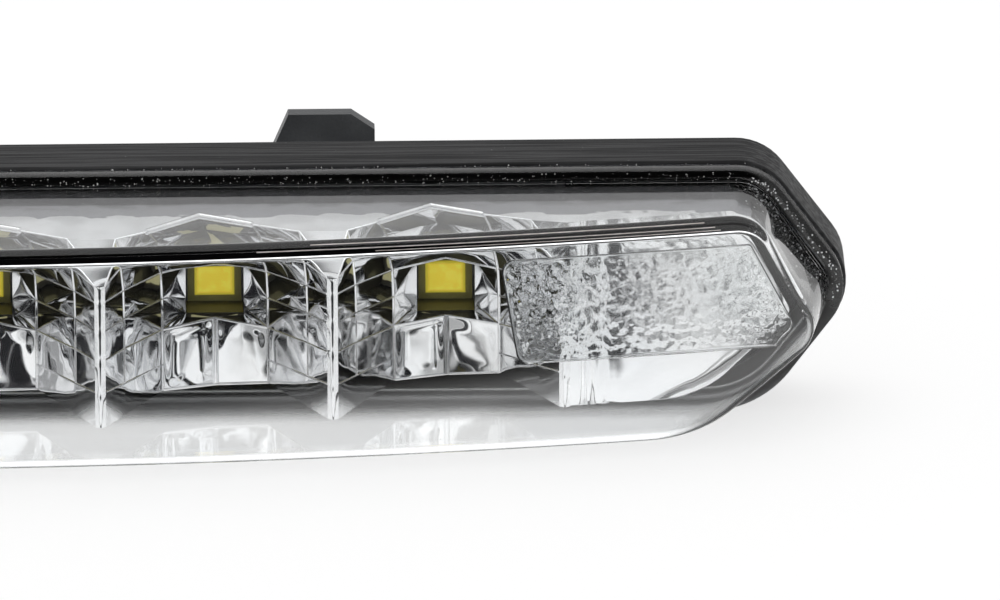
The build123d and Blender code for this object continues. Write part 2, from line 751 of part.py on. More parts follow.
def make_bracket(side):
    """Bent strip bracket: leg on the heat-sink boss, foot with one fixing hole."""
    half = BRACKET_WIDTH / 2
    leg_points = [
        (-half, -HALF_HEIGHT),
        (-half, BRACKET_FLARE_HEIGHT),
        (BRACKET_TOP_INNER, BRACKET_TOP),
        (BRACKET_TOP_OUTER, BRACKET_TOP),
        (BRACKET_SHOULDER, BRACKET_SHOULDER_HEIGHT),
        (BRACKET_SHOULDER, BRACKET_FLARE_HEIGHT),
        (half, BRACKET_FLARE_HEIGHT - half + BRACKET_SHOULDER),
        (half, -HALF_HEIGHT),
    ]
    leg = slab(make_face(Polyline(*leg_points, close=True)), FIN_TIP, LEG_BACK)
    foot_back = LEG_BACK + BRACKET_FOOT_LENGTH
    foot = block(
        0,
        -HALF_HEIGHT + BRACKET_THICKNESS / 2,
        BRACKET_WIDTH,
        BRACKET_THICKNESS,
        FIN_TIP,
        foot_back,
    )
    bracket = leg + foot
    inside = bracket.edges().filter_by(Axis.X).filter_by(
        lambda edge: abs(edge.center().Y - LEG_BACK) < 1e-4
        and abs(edge.center().Z + HALF_HEIGHT - BRACKET_THICKNESS) < 1e-4
    )
    bracket = fillet(inside, BRACKET_BEND)
    outside = bracket.edges().filter_by(Axis.X).filter_by(
        lambda edge: abs(edge.center().Y - FIN_TIP) < 1e-4
        and abs(edge.center().Z + HALF_HEIGHT) < 1e-4
    )
    bracket = fillet(outside, BRACKET_BEND + BRACKET_THICKNESS)
    toes = bracket.edges().filter_by(Axis.Z).filter_by(
        lambda edge: abs(edge.center().Y - foot_back) < 1e-4
    )
    bracket = fillet(toes, BRACKET_FOOT_CORNER)
    bracket = bracket - rod(0, 0, BRACKET_SCREW_RADIUS + 0.25, FIN_TIP - 1, LEG_BACK + 1)
    hole = Cylinder(BRACKET_HOLE_RADIUS, 4 * BRACKET_THICKNESS)
    bracket = bracket - Pos(0, HOLE_DEPTH, -HALF_HEIGHT) * hole
    if side < 0:
        bracket = mirror(bracket, about=Plane.YZ)
    return Pos(side * BRACKET_SPACING / 2, 0, 0) * bracket


def make_bracket_screws():
    seat = LEG_BACK + WASHER_THICKNESS
    screws = []
    for side in (-1, 1):
        screws.append(
            pan_screw(
                side * BRACKET_SPACING / 2,
                0,
                seat,
                BRACKET_SCREW_LENGTH,
                BRACKET_SCREW_RADIUS,
                BRACKET_HEAD_RADIUS,
                BRACKET_HEAD_HEIGHT,
                -1,
            )
        )
    return Compound(screws)


def make_bracket_washers():
    washers = []
    for side in (-1, 1):
        x = side * BRACKET_SPACING / 2
        ring = Circle(WASHER_RADIUS) - Circle(BRACKET_SCREW_RADIUS + 0.15)
        washers.append(slab(Pos(x, 0) * ring, LEG_BACK, LEG_BACK + WASHER_THICKNESS))
    return Compound(washers)


def make_parts():
    parts = {
        "lens_cover": make_lens(),
        "lens_seal": make_seal(),
        "reflector": make_reflector(),
        "housing": make_housing(),
        "led_board": make_board(),
    }
    for number, emitter in enumerate(EMITTERS, start=1):
        parts[f"led_package_{number}"] = make_package(emitter)
        parts[f"led_phosphor_{number}"] = make_phosphor(emitter)
    parts.update(
        {
            "thermal_pad": make_thermal_pad(),
            "heat_sink": make_heat_sink(),
            "rear_gasket": make_rear_gasket(),
            "board_screws": make_board_screws(),
            "heat_sink_screws": make_sink_screws(),
            "driver_chip": board_part(2, DRIVER_SIZE),
            "inductor": make_inductor(),
            "capacitors": make_capacitors(),
            "diode": board_part(0, DIODE_SIZE),
            "board_connector": make_connector(),
            "cable_grommet": make_grommet(),
            "vent_plug": make_vent(),
            "bracket_left": make_bracket(-1),
            "bracket_right": make_bracket(1),
            "bracket_screws": make_bracket_screws(),
            "bracket_washers": make_bracket_washers(),
        }
    )
    return parts


os.makedirs("parts", exist_ok=True)
for name, part in make_parts().items():
    placed = Pos(0, -HOLE_DEPTH, HALF_HEIGHT) * part
    placed.label = name
    export_step(placed, f"parts/{name}.step")
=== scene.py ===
"""Daytime running light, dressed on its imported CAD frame."""
import json
import math

import bmesh
import bpy
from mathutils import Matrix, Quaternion, Vector, noise


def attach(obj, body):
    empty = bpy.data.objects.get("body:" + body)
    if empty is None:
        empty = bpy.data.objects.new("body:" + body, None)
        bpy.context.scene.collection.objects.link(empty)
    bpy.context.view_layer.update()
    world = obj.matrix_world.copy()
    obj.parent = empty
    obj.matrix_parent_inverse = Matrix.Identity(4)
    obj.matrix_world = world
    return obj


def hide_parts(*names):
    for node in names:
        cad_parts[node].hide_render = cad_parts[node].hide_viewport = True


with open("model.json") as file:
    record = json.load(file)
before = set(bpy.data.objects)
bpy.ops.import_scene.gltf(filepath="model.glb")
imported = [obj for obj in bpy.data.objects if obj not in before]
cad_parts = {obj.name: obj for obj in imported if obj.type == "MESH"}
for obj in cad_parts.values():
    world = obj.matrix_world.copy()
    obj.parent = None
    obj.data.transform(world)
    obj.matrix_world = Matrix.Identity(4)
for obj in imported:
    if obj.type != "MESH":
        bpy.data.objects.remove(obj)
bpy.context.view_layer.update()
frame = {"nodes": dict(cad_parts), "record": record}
MM = 0.001

# Lamp sizes in mm: x along the lamp, depth behind the lens front, height from the middle
HOLE_DEPTH = 53.0
MID_HEIGHT = 12.0
PITCH = 21.5
CELLS = 6
HALF_SPAN = PITCH * CELLS / 2
HALF_LENGTH = HALF_SPAN + 26.6
BOW_RADIUS = 351.0
LENS_DEPTH = 23.4
LENS_WALL = 1.6
END_WALL = 0.9
UNDER_WALL = 0.35
LENS_INSET = 1.4
TONGUE_BACK = 26.4
BOARD_DEPTH = 29.2
REFLECTOR_HALF = 8.15
RIDGE_SETBACK = 6.2
EMITTERS = [-HALF_SPAN + (i + 0.5) * PITCH for i in range(CELLS)]
RIDGES = [-HALF_SPAN + i * PITCH for i in range(CELLS + 1)]


def place(x, depth, height):
    """Point of the lamp in the shared frame, in metres."""
    return Vector((x * MM, (depth - HOLE_DEPTH) * MM, (height + MID_HEIGHT) * MM))


def bow(x, setback=0.0):
    return BOW_RADIUS - math.sqrt((BOW_RADIUS - setback) ** 2 - x * x)


# Outlines of the rim and lens


def six_corners(shoulder, tip, heel, half_height):
    return [
        (-shoulder, half_height),
        (shoulder, half_height),
        tip,
        (heel, -half_height),
        (-heel, -half_height),
        (-tip[0], tip[1]),
    ]


def inset_polygon(points, distances):
    """Polygon with each side moved inward by its own distance."""
    sides = []
    for start, end, distance in zip(points, points[1:] + points[:1], distances):
        run = (end[0] - start[0], end[1] - start[1])
        length = math.hypot(*run)
        foot = (start[0] + run[1] / length * distance, start[1] - run[0] / length * distance)
        sides.append((foot, run))
    moved = []
    for (p, a), (q, b) in zip(sides[-1:] + sides[:-1], sides):
        cross = a[0] * b[1] - a[1] * b[0]
        share = ((q[0] - p[0]) * b[1] - (q[1] - p[1]) * b[0]) / cross
        moved.append((p[0] + a[0] * share, p[1] + a[1] * share))
    return moved


SIDE_STEPS = (110, 14, 18, 90, 18, 14)
ARC_STEPS = 12
LEAST_RADIUS = 0.5
RIM_HALF_HEIGHT = 12.0
RIM_CORNERS = six_corners(HALF_LENGTH - 7.4, (HALF_LENGTH + 1.4, 0.3), HALF_LENGTH - 8.1, RIM_HALF_HEIGHT)
RIM_RADII = (5.5, 5.4, 10.0)
LENS_HALF_HEIGHT = 10.5
LENS_RADII = (4.5, 2.5, 15.0)
SHOULDER_DRAFT, TIP_DRAFT, HEEL_DRAFT = 0.6, (4.3, 3.1), 8.8


def between(a, b, share):
    """Point that lies a share of the way from a to b."""
    return tuple(p + (q - p) * share for p, q in zip(a, b))


def shares(steps):
    """Even shares from nothing to one."""
    return [step / steps for step in range(steps + 1)]


def rounded_outline(points, radii, inset=0.0):
    """Evenly ordered points round a six-cornered outline, the same count at any size."""
    insets = [inset] * 6 if isinstance(inset, (int, float)) else inset
    pairs = zip(insets, insets[1:])
    shoulder, tip, heel = [max(radius - min(pair), LEAST_RADIUS) for radius, pair in zip(radii, pairs)]
    points = inset_polygon(points, insets)
    arcs = []
    for index, radius in enumerate((shoulder, shoulder, tip, heel, heel, tip)):
        corner = Vector(points[index])
        before = (Vector(points[index - 1]) - corner).normalized()
        after = (Vector(points[(index + 1) % 6]) - corner).normalized()
        half_angle = before.angle(after) / 2
        centre = corner + (before + after).normalized() * radius / math.sin(half_angle)
        ends = [corner + way * radius / math.tan(half_angle) for way in (before, after)]
        a0, a1 = [math.atan2(end.y - centre.y, end.x - centre.x) for end in ends]
        sweep = (a1 - a0 + math.pi) % (2 * math.pi) - math.pi
        angles = [a0 + sweep * step / ARC_STEPS for step in range(ARC_STEPS + 1)]
        arcs.append([(centre.x + radius * math.cos(a), centre.y + radius * math.sin(a)) for a in angles])
    path = []
    for arc, ahead, steps in zip(arcs, arcs[1:] + arcs[:1], SIDE_STEPS):
        path += arc
        path += [between(arc[-1], ahead[0], step / steps) for step in range(1, steps)]
    return path


def rim_outline(inset=0.0):
    return rounded_outline(RIM_CORNERS, RIM_RADII, inset)


def lens_outline(depth, inset=0.0):
    """Outline of the drafted cover at a depth behind its front."""
    share = depth / LENS_DEPTH
    back = inset_polygon(RIM_CORNERS, [LENS_INSET] * 6)
    tip = (back[2][0] - TIP_DRAFT[0], back[2][1] - TIP_DRAFT[1])
    shoulder, heel = back[1][0] - SHOULDER_DRAFT, back[3][0] - HEEL_DRAFT
    front = six_corners(shoulder, tip, heel, LENS_HALF_HEIGHT)
    points = [between(f, b, share) for f, b in zip(front, back)]
    radii = [f + (r - LENS_INSET - f) * share for f, r in zip(LENS_RADII, RIM_RADII)]
    return rounded_outline(points, radii, inset)


# Mesh helpers


def in_scene(name, data):
    """New object of the scene that shows this mesh, light or camera."""
    thing = bpy.data.objects.new(name, data)
    bpy.context.scene.collection.objects.link(thing)
    return thing


def new_piece(name, mesh, material, slot):
    piece = in_scene(name, mesh)
    mesh.materials.clear()
    mesh.materials.append(material)
    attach(piece, "root")
    return piece


def finished_mesh(name, verts, faces, smooth_angle=None, merge=1e-7, mark=None, marks=()):
    """Mesh with close points merged; a named mark per point turns its faces outward too."""
    mesh = bpy.data.meshes.new(name)
    form = bmesh.new()
    points = [form.verts.new(v) for v in verts]
    for face in faces:
        form.faces.new([points[i] for i in face])
    if mark:
        layer = form.verts.layers.float.new(mark)
        for point, value in zip(form.verts, marks):
            point[layer] = value
    bmesh.ops.remove_doubles(form, verts=form.verts, dist=merge)
    bmesh.ops.dissolve_degenerate(form, edges=form.edges, dist=merge)
    if mark:
        bmesh.ops.recalc_face_normals(form, faces=form.faces)
    form.to_mesh(mesh)
    form.free()
    mesh.shade_smooth()
    if smooth_angle is not None:
        mesh.set_sharp_from_angle(angle=math.radians(smooth_angle))
    return mesh


CAP_STEP = 1.8
BEND_STEPS = 8


def on_grid(value, step):
    """The nearest whole step, so that both halves of a face meet in the same points."""
    return round(value / step) * step


def clamped(value, low=0.0, high=1.0):
    return min(max(value, low), high)


def cap_rings(loop, reach, level, rings, setback):
    """Rings that close a long outline onto a middle line, lying on the bowed front."""
    rows = []
    for ring in range(1, rings + 1):
        row = []
        for x, z in loop:
            middle = (on_grid(clamped(x, -reach, reach), CAP_STEP), level)
            px, pz = between((x, z), middle, ring / rings)
            row.append(place(px, bow(px, setback), pz))
        rows.append(row)
    return rows


def bend(corner, before, after, radius):
    """Points round one filleted corner between two straight sides that leave it in these directions."""
    half = before.angle(after) / 2
    reach = radius / math.tan(half)
    a, b = corner + before * reach, corner + after * reach
    weight = math.sin(half)
    points = []
    for t in shares(BEND_STEPS):
        wa, wc, wb = (1 - t) ** 2, 2 * t * (1 - t) * weight, t * t
        points.append((a * wa + corner * wc + b * wb) / (wa + wc + wb))
    return points


def front_profile(inset, setback, fold):
    """For each outline point the rounded front edge, and where the front face starts."""
    at_zero = lens_outline(0.0, inset)
    at_back = lens_outline(LENS_DEPTH, inset)
    sharp = []
    for a, b in zip(at_zero, at_back):
        depth = 5.0
        for _ in range(SOLVE_ROUNDS):
            depth = bow(between(a, b, depth / LENS_DEPTH)[0], setback)
        x, z = between(a, b, depth / LENS_DEPTH)
        sharp.append(Vector((x, depth, z)))
    edges = []
    for i, corner in enumerate(sharp):
        back = Vector((at_back[i][0], LENS_DEPTH, at_back[i][1]))
        along = (sharp[(i + 1) % len(sharp)] - sharp[i - 1]).normalized()
        slope = corner.x / math.sqrt((BOW_RADIUS - setback) ** 2 - corner.x**2)
        inward = along.cross(Vector((slope, -1.0, 0.0)).normalized())
        inward.normalize()
        if inward.x * corner.x + inward.z * corner.z > 0:
            inward = -inward
        arc = bend(corner, (back - corner).normalized(), inward, fold)
        arc[-1].y = bow(arc[-1].x, setback)
        edges.append(arc)
    return edges, [(arc[-1].x, arc[-1].z) for arc in edges]


def ring_faces(rows, count, faces, flip=False):
    for low, high in zip(rows, rows[1:]):
        for i in range(count):
            j = (i + 1) % count
            quad = (low + i, low + j, high + j, high + i)
            faces.append(quad[::-1] if flip else quad)


def grid_faces(base, rows, columns, faces):
    """Quads of a grid of points that is stored row by row."""
    for row in range(rows - 1):
        for column in range(columns - 1):
            i = base + row * columns + column
            faces.append((i, i + 1, i + columns + 1, i + columns))


# Clear cover

FRONT_SETBACK = 0.01
FRONT_FOLD = 0.8
INNER_FOLD = 0.4
LIP_THICKNESS = 1.8
CAP_LEVEL = -0.6
CAP_REACH = HALF_LENGTH - 16.0
CAP_RINGS = 26
WALL_STEPS = 6
SATIN_LIP = 0.8
SATIN_FROM = 14.0
SATIN_RUN = 6.0
SATIN_LEAN = (0.15, 0.35)
SATIN_TOP = -2.0
SATIN_SKIN = 0.3
SATIN_STOP = 1.7
SOLVE_ROUNDS = 30


def mark_satin(mesh):
    """Mark what is satin: the outer walls below the two tips, and the lower walls toward the lip."""
    satin = mesh.attributes.new("satin", "FLOAT", "POINT")
    for index, vertex in enumerate(mesh.vertices):
        x, depth, z = vertex.co.x / MM, vertex.co.y / MM + HOLE_DEPTH, vertex.co.z / MM - MID_HEIGHT
        lean = clamped((abs(vertex.normal.x) - SATIN_LEAN[0]) / SATIN_LEAN[1])
        toward_lip = SATIN_LIP * clamped((depth - SATIN_FROM) / SATIN_RUN) if z < SATIN_TOP else 0.0
        on_wall = SATIN_SKIN < depth - bow(x) and depth < LENS_DEPTH - SATIN_STOP
        outer = z < 0 and vertex.normal.z < -0.2 and on_wall
        satin.data[index].value = max(lean, toward_lip) if outer else toward_lip


def wall_row(arcs, outline, depth, share):
    """Points of a wall, a share of the way from the front edge to an outline at this depth."""
    row = []
    for arc, (x, z) in zip(arcs, outline):
        row.append(place(*(arc[0] + (Vector((x, depth, z)) - arc[0]) * share)))
    return row


def lens_mesh():
    """The clear cover as one closed skin: front, walls, lip, tongue and inside."""
    walls = [LENS_WALL, END_WALL, UNDER_WALL, UNDER_WALL, UNDER_WALL, END_WALL]
    outer, outer_start = front_profile(0.0, FRONT_SETBACK, FRONT_FOLD)
    inner, inner_start = front_profile(walls, LENS_WALL, INNER_FOLD)
    lip_front = LENS_DEPTH - LIP_THICKNESS
    outer_end, inner_end = lens_outline(lip_front), lens_outline(LENS_DEPTH, walls)
    rows = cap_rings(outer_start, CAP_REACH, CAP_LEVEL, CAP_RINGS, FRONT_SETBACK)[::-1]
    rows += [[place(*arc[step]) for arc in outer] for step in range(BEND_STEPS, -1, -1)]
    rows += [wall_row(outer, outer_end, lip_front, share) for share in shares(WALL_STEPS)[1:]]
    # Lip and tongue, as insets from the rim's outline
    for inset, depth in (
        (0.42, lip_front),
        (0.3, lip_front + 0.12),
        (0.3, LENS_DEPTH),
        (1.8, LENS_DEPTH),
        (1.8, TONGUE_BACK),
        (3.0, TONGUE_BACK),
        (3.0, LENS_DEPTH),
    ):
        rows.append([place(x, depth, z) for x, z in rim_outline(inset)])
    rows += [wall_row(inner, inner_end, LENS_DEPTH, share) for share in shares(WALL_STEPS)[-2:0:-1]]
    rows += [[place(*arc[step]) for arc in inner] for step in range(BEND_STEPS + 1)]
    rows += cap_rings(inner_start, CAP_REACH, CAP_LEVEL, CAP_RINGS, LENS_WALL)
    count = len(outer)
    faces = []
    ring_faces([i * count for i in range(len(rows))], count, faces)
    mesh = finished_mesh("lens_cover_clear", [v for row in rows for v in row], faces, 50)
    mark_satin(mesh)
    return mesh


# End panels on the inner face of the cover

PANEL_LEFT = HALF_SPAN - 6.1
PANEL_TOP = 7.6
PANEL_BOTTOM = -2.5
PANEL_SLANT = 1.7
PANEL_CORNER = 1.2
PANEL_LIFT = 0.3
PANEL_BEVEL = 0.2
PANEL_RINGS = 36
PEBBLE_SIZE = 0.75
PEBBLE_HEIGHT = 0.15
PANEL_SINK = 0.05
PANEL_STEP = 0.2
PANEL_MARGIN = 0.6
PANEL_GAP = 0.14
PANEL_SPINE = (4.5, 6.0)


def quarter_bend(before, corner, after, radius):
    """Points round one filleted corner of a flat path."""
    corner = Vector(corner)
    return bend(corner, (Vector(before) - corner).normalized(), (Vector(after) - corner).normalized(), radius)


def spaced(points, gap):
    """The same closed path with extra points, so that no step is longer than gap."""
    path = []
    for a, b in zip(points, points[1:] + points[:1]):
        steps = max(1, math.ceil((b - a).length / gap))
        path += [a + (b - a) * step / steps for step in range(steps)]
    return path


def panel_outline():
    edge = lens_outline(bow(HALF_LENGTH), LENS_WALL + PANEL_MARGIN)
    far = [Vector(p) for p in edge if p[0] > 0.9 * HALF_SPAN and PANEL_BOTTOM < p[1] < PANEL_TOP]
    upper, lower = (PANEL_LEFT, PANEL_TOP), (PANEL_LEFT + PANEL_SLANT, PANEL_BOTTOM)
    top_right, low_right = (far[0].x, PANEL_TOP), (far[-1].x, PANEL_BOTTOM)
    path = quarter_bend(lower, upper, top_right, PANEL_CORNER)
    path += quarter_bend(upper, top_right, far[len(far) // 2], 0.5)
    path += [p for p in far if PANEL_BOTTOM + 0.6 < p.y < PANEL_TOP - 0.9]
    path += quarter_bend(far[-3], low_right, lower, 0.4)
    path += quarter_bend(low_right, lower, upper, PANEL_CORNER)
    return spaced(path, PANEL_GAP)


def drawn_in(path, distance):
    """A closed clockwise path moved inward."""
    moved = []
    for before, point, after in zip(path[-1:] + path[:-1], path, path[1:] + path[:1]):
        along = (after - before).normalized()
        moved.append(point + Vector((along.y, -along.x)) * distance)
    return moved


def pebble(x, z):
    """Rolling relief of the end panels, mm."""
    spot = Vector((x, z, 0.0)) / PEBBLE_SIZE
    return PEBBLE_HEIGHT * (noise.noise(spot) + 0.35 * noise.noise(spot * 2.1 + Vector((7.3, 1.9, 4.1))))


def end_panels_mesh():
    """Two raised pads with a bevelled edge, pebbled on the face toward the reflector."""
    outline = panel_outline()
    inner = drawn_in(outline, PANEL_BEVEL)
    count = len(outline)
    left, right = PANEL_LEFT + PANEL_SPINE[0], max(p.x for p in outline) - PANEL_SPINE[1]
    level = (PANEL_TOP + PANEL_BOTTOM) / 2
    layers = [(outline, LENS_WALL - PANEL_SINK, share, 0.0) for share in (1.0, 0.5, 0.0)]
    layers.append((outline, LENS_WALL + PANEL_LIFT - PANEL_BEVEL, 0.0, 0.0))
    for ring in range(PANEL_RINGS + 1):
        layers.append((inner, LENS_WALL + PANEL_LIFT, ring / PANEL_RINGS, clamped((ring - 1) / 3)))
    verts, faces, pebbled = [], [], []
    for side in (-1, 1):
        base = len(verts)
        for path, setback, share, mark in layers:
            for point in path:
                middle = Vector((on_grid(clamped(point.x, left, right), PANEL_STEP), level))
                x, z = point + (middle - point) * share
                verts.append(place(side * x, bow(x, setback) + mark * pebble(x, z), z))
                pebbled.append(mark)
        ring_faces([base + i * count for i in range(len(layers))], count, faces, side < 0)
    return finished_mesh("end_panels", verts, faces, 60, mark="pebbled", marks=pebbled)


# Reflector: cups with folded side walls, all following the bow of the cover

FLOOR_DEPTH = BOARD_DEPTH - 4.2
FOLD_DEPTH = FLOOR_DEPTH - 0.5
LINE_DEPTH = FLOOR_DEPTH - 2.0
ROW_LOW = 2.8
ROW_HIGH = 5.7
ROW_RISE = 1.6
ROW_DROP = 0.5
CUP_HALF = 4.9
CUP_TURN = 0.22
WINDOW_HALF = (2.7, 2.5)
RIDGE_TOP = 5.4
RIDGE_HALF = 0.5
CREST = 0.38
CREST_BLUNT = 0.12
BAR_ROWS, BAR_COLUMNS, BAR_WAIST = 8, 12, 0.12
EAVE_LEAN = 1.4
EAVE_SETBACK = 14.2
SILL_SETBACK = 19.3
LINE_EAVE_SETBACK = 10.0
LINE_SILL_SETBACK = 18.6
FOLD_SHARE = 0.33
FOLD_BULGE = 0.08
FOLD_RISE = 0.9
FACET_SWELL = 0.012
FACET_BORDER = 0.1
LOWER_SWELL = 0.07
LOWER_LIFT = 0.6
LOWER_TILT = 0.25
LOWER_ROWS = 36
LOWER_COLUMNS = 40
TURN_BORDERS = (0.34, 0.25)
SCOOP, SCOOP_BORDER = 0.05, 0.25
SCOOP_LEAN, LEAN_BORDERS = 0.34, (0.2, 0.16)
WING_COLUMNS, WING_ROWS = 121, 21
# Grooves of the blank ends: depth, place and half width
WING_GROOVES = ((0.55, 1.7, 0.55), (0.3, 3.6, 0.7))
WING_WAVE = 0.16


def eave_lean(emitter):
    """Sideways lean of a cup's upper edge, toward the middle of the lamp."""
    return -math.copysign(EAVE_LEAN, emitter)


def edge_point(emitter, level):
    """Middle of the cup's lower or upper front edge."""
    if level > 0:
        return Vector((emitter + eave_lean(emitter), EAVE_SETBACK + bow(emitter), REFLECTOR_HALF))
    return Vector((emitter, SILL_SETBACK + bow(emitter), -REFLECTOR_HALF))


def row_levels(rise):
    """Heights of the rows of facets, lifted more toward the middle."""
    inner = [-ROW_HIGH, -ROW_LOW, 0.0, ROW_LOW, ROW_HIGH]
    lifted = [level - ROW_DROP + rise * (1 - (level / REFLECTOR_HALF) ** 6) for level in inner]
    return [-REFLECTOR_HALF] + lifted + [REFLECTOR_HALF]


def wall_columns(emitter, side):
    """Points of one side wall from the bottom up: at the ridge, at its fold and at the cup line."""
    ridge_x = emitter + side * (PITCH - 2 * RIDGE_HALF) / 2
    line_x = emitter + side * CUP_HALF
    fold_x = ridge_x + (line_x - ridge_x) * FOLD_SHARE
    ridge_y = RIDGE_SETBACK + bow(emitter + side * PITCH / 2)
    turn = math.copysign(CUP_TURN, emitter) * side * CUP_HALF
    columns = [[], [], []]
    ridge_levels = row_levels(ROW_RISE)[:-2] + [RIDGE_TOP, RIDGE_TOP]
    for index, level in enumerate(row_levels(0.0)):
        share = (level / REFLECTOR_HALF) ** 2
        lean = eave_lean(emitter) * share if level > 0 else 0.0
        edge_y = (LINE_EAVE_SETBACK if level > 0 else LINE_SILL_SETBACK) + bow(emitter) + turn
        cup_y = LINE_DEPTH + (edge_y - LINE_DEPTH) * share
        fold_y = ridge_y + (cup_y - ridge_y) * (FOLD_SHARE + FOLD_BULGE * (1 - share))
        columns[0].append(Vector((ridge_x, ridge_y, ridge_levels[index])))
        columns[1].append(Vector((fold_x + lean / 2, fold_y, row_levels(FOLD_RISE)[index])))
        columns[2].append(Vector((line_x + lean, cup_y, level)))
    return columns


def cup_patches(emitter):
    """Four-cornered facets of one cup, each ordered so that it faces forward."""
    found = []
    left = wall_columns(emitter, -1)
    right = wall_columns(emitter, 1)
    for a, b in ((left[0], left[1]), (left[1], left[2]), (right[2], right[1]), (right[1], right[0])):
        for low in range(6):
            found.append((a[low], b[low], b[low + 1], a[low + 1]))
    corner = {}
    for s in (-1, 1):
        for t in (-1, 1):
            corner[s, t] = Vector((emitter + s * WINDOW_HALF[0], FLOOR_DEPTH, t * WINDOW_HALF[1]))
    for level, near, far, end in ((-1, 2, 1, 0), (1, 4, 5, 6)):
        fold = Vector((emitter, FOLD_DEPTH, level * ROW_LOW))
        edge = edge_point(emitter, level)
        rise = (ROW_HIGH - ROW_LOW) / (REFLECTOR_HALF - ROW_LOW)
        halfway = Vector((*between(fold.xy, edge.xy, rise), level * ROW_HIGH))
        for line, s in ((left[2], -1), (right[2], 1)):
            quads = [(line[near], fold, corner[s, level], corner[s, level])]
            if level > 0:
                quads += [(line[end], edge, halfway, line[far]), (line[far], halfway, fold, line[near])]
            for quad in quads:
                found.append(quad if s * level > 0 else quad[::-1])
        roof = (fold, fold, corner[1, level], corner[-1, level])
        found.append(roof if level < 0 else roof[::-1])
    for line, s in ((left[2], -1), (right[2], 1)):
        wedge = [
            (line[2], corner[s, -1], corner[s, -1], line[3]),
            (line[3], corner[s, -1], corner[s, 1], line[3]),
            (line[3], corner[s, 1], corner[s, 1], line[4]),
        ]
        for quad in wedge:
            found.append(quad if s < 0 else quad[::-1])
    return found


def curve_point(points, share):
    """Point on the smooth curve through three points."""
    a, b, c = points
    pull = (b - (a + c) / 2) * 2 + (a + c) / 2
    return a * (1 - share) ** 2 + pull * 2 * share * (1 - share) + c * share * share


def rolled(share, border):
    """Nothing at either edge of a facet, rising softly to one past its border."""
    t = min(min(share, 1 - share) / border, 1.0)
    return t * t * (3 - 2 * t)


def lower_facets(emitter, verts, faces):
    """The two large curved facets under each light source, one on each side of the rib."""
    edge = edge_point(emitter, -1)
    fold = Vector((emitter, FOLD_DEPTH, -ROW_LOW))
    rib = [edge, (edge + fold) / 2, fold]
    for side in (-1, 1):
        line = wall_columns(emitter, side)[2][:3]
        base = len(verts)
        for v in shares(LOWER_ROWS):
            a, b = curve_point(line, v), curve_point(rib, v)
            for u in shares(LOWER_COLUMNS):
                swell = LOWER_SWELL * 16 * u * (1 - u) * v * (1 - v)
                inside = rolled(u, TURN_BORDERS[0]) * rolled(v, TURN_BORDERS[1])
                turn_back = (u - 0.5) * (a.y - b.y) * (1 - LOWER_TILT) * inside
                scoop = SCOOP * bow(emitter) * 4 * v * (1 - v) * rolled(u, SCOOP_BORDER)
                if side * emitter < 0:
                    inside = rolled(max(v, 0.5), LEAN_BORDERS[1]) * rolled(u, LEAN_BORDERS[0])
                    scoop = SCOOP_LEAN * bow(emitter) * v * inside
                shift = Vector((0, turn_back + scoop - swell, LOWER_LIFT * swell))
                verts.append(place(*(a + (b - a) * u + shift)))
        grid_faces(base, LOWER_ROWS + 1, LOWER_COLUMNS + 1, faces)


def facet_steps(edge_length, inner):
    """Shares along a facet, with a narrow border at each end for the rounded edge."""
    border = min(FACET_BORDER / max(edge_length, 1e-6), 0.25)
    steps = [0.0, border * 0.5, border]
    steps += [border + (1 - 2 * border) * i / inner for i in range(1, inner)]
    return steps + [1 - border, 1 - border * 0.5, 1.0]


def pillow_patch(quad, swell, inner, verts, faces):
    """One facet as a fine grid that swells a little between crisp rounded edges."""
    a, b, c, d = quad
    normal = (c - a).cross(d - b)
    normal.normalize()
    if normal.y > 0:
        normal = -normal
    across = facet_steps(max((b - a).length, (c - d).length), inner)
    upward = facet_steps(max((d - a).length, (c - b).length), inner)
    base = len(verts)
    for v in upward:
        for u in across:
            point = (a * (1 - u) + b * u) * (1 - v) + (d * (1 - u) + c * u) * v
            rise = swell * 16 * u * (1 - u) * v * (1 - v)
            verts.append(place(*(point + normal * rise)))
    grid_faces(base, len(upward), len(across), faces)


def round_bar(ridge, depth, low, high, verts, faces):
    """One length of a ridge, crested across and slightly waisted at each end."""
    base = len(verts)
    rows, columns = shares(BAR_ROWS), shares(BAR_COLUMNS)
    for v in rows:
        waist = 1 - BAR_WAIST * (2 * v - 1) ** 8
        for u in columns:
            s = -math.cos(math.pi * u)
            fall = (math.hypot(s, CREST_BLUNT) - CREST_BLUNT) / (math.hypot(1, CREST_BLUNT) - CREST_BLUNT)
            crest = CREST * waist * (1 - fall)
            verts.append(place(ridge + RIDGE_HALF * s, depth - crest, low + (high - low) * v))
    grid_faces(base, len(rows), len(columns), faces)


def outline_span(outline, x):
    """Lowest and highest point of an outline at x."""
    cuts = []
    for a, b in zip(outline, outline[1:] + outline[:1]):
        if (a[0] - x) * (b[0] - x) <= 0 and a[0] != b[0]:
            cuts.append(a[1] + (b[1] - a[1]) * (x - a[0]) / (b[0] - a[0]))
    return min(cuts), max(cuts)


def wing_relief(run, z):
    """Hollow beside the last ridge and a slow wave along the blank end, mm."""
    groove = sum(deep * math.exp(-(((run - at) / half) ** 2)) for deep, at, half in WING_GROOVES)
    wave = WING_WAVE * math.sin(0.55 * run + 0.12 * z) * math.cos(0.28 * z) * min(run / 4, 1.0)
    return 0.05 + groove + max(wave, -0.04)


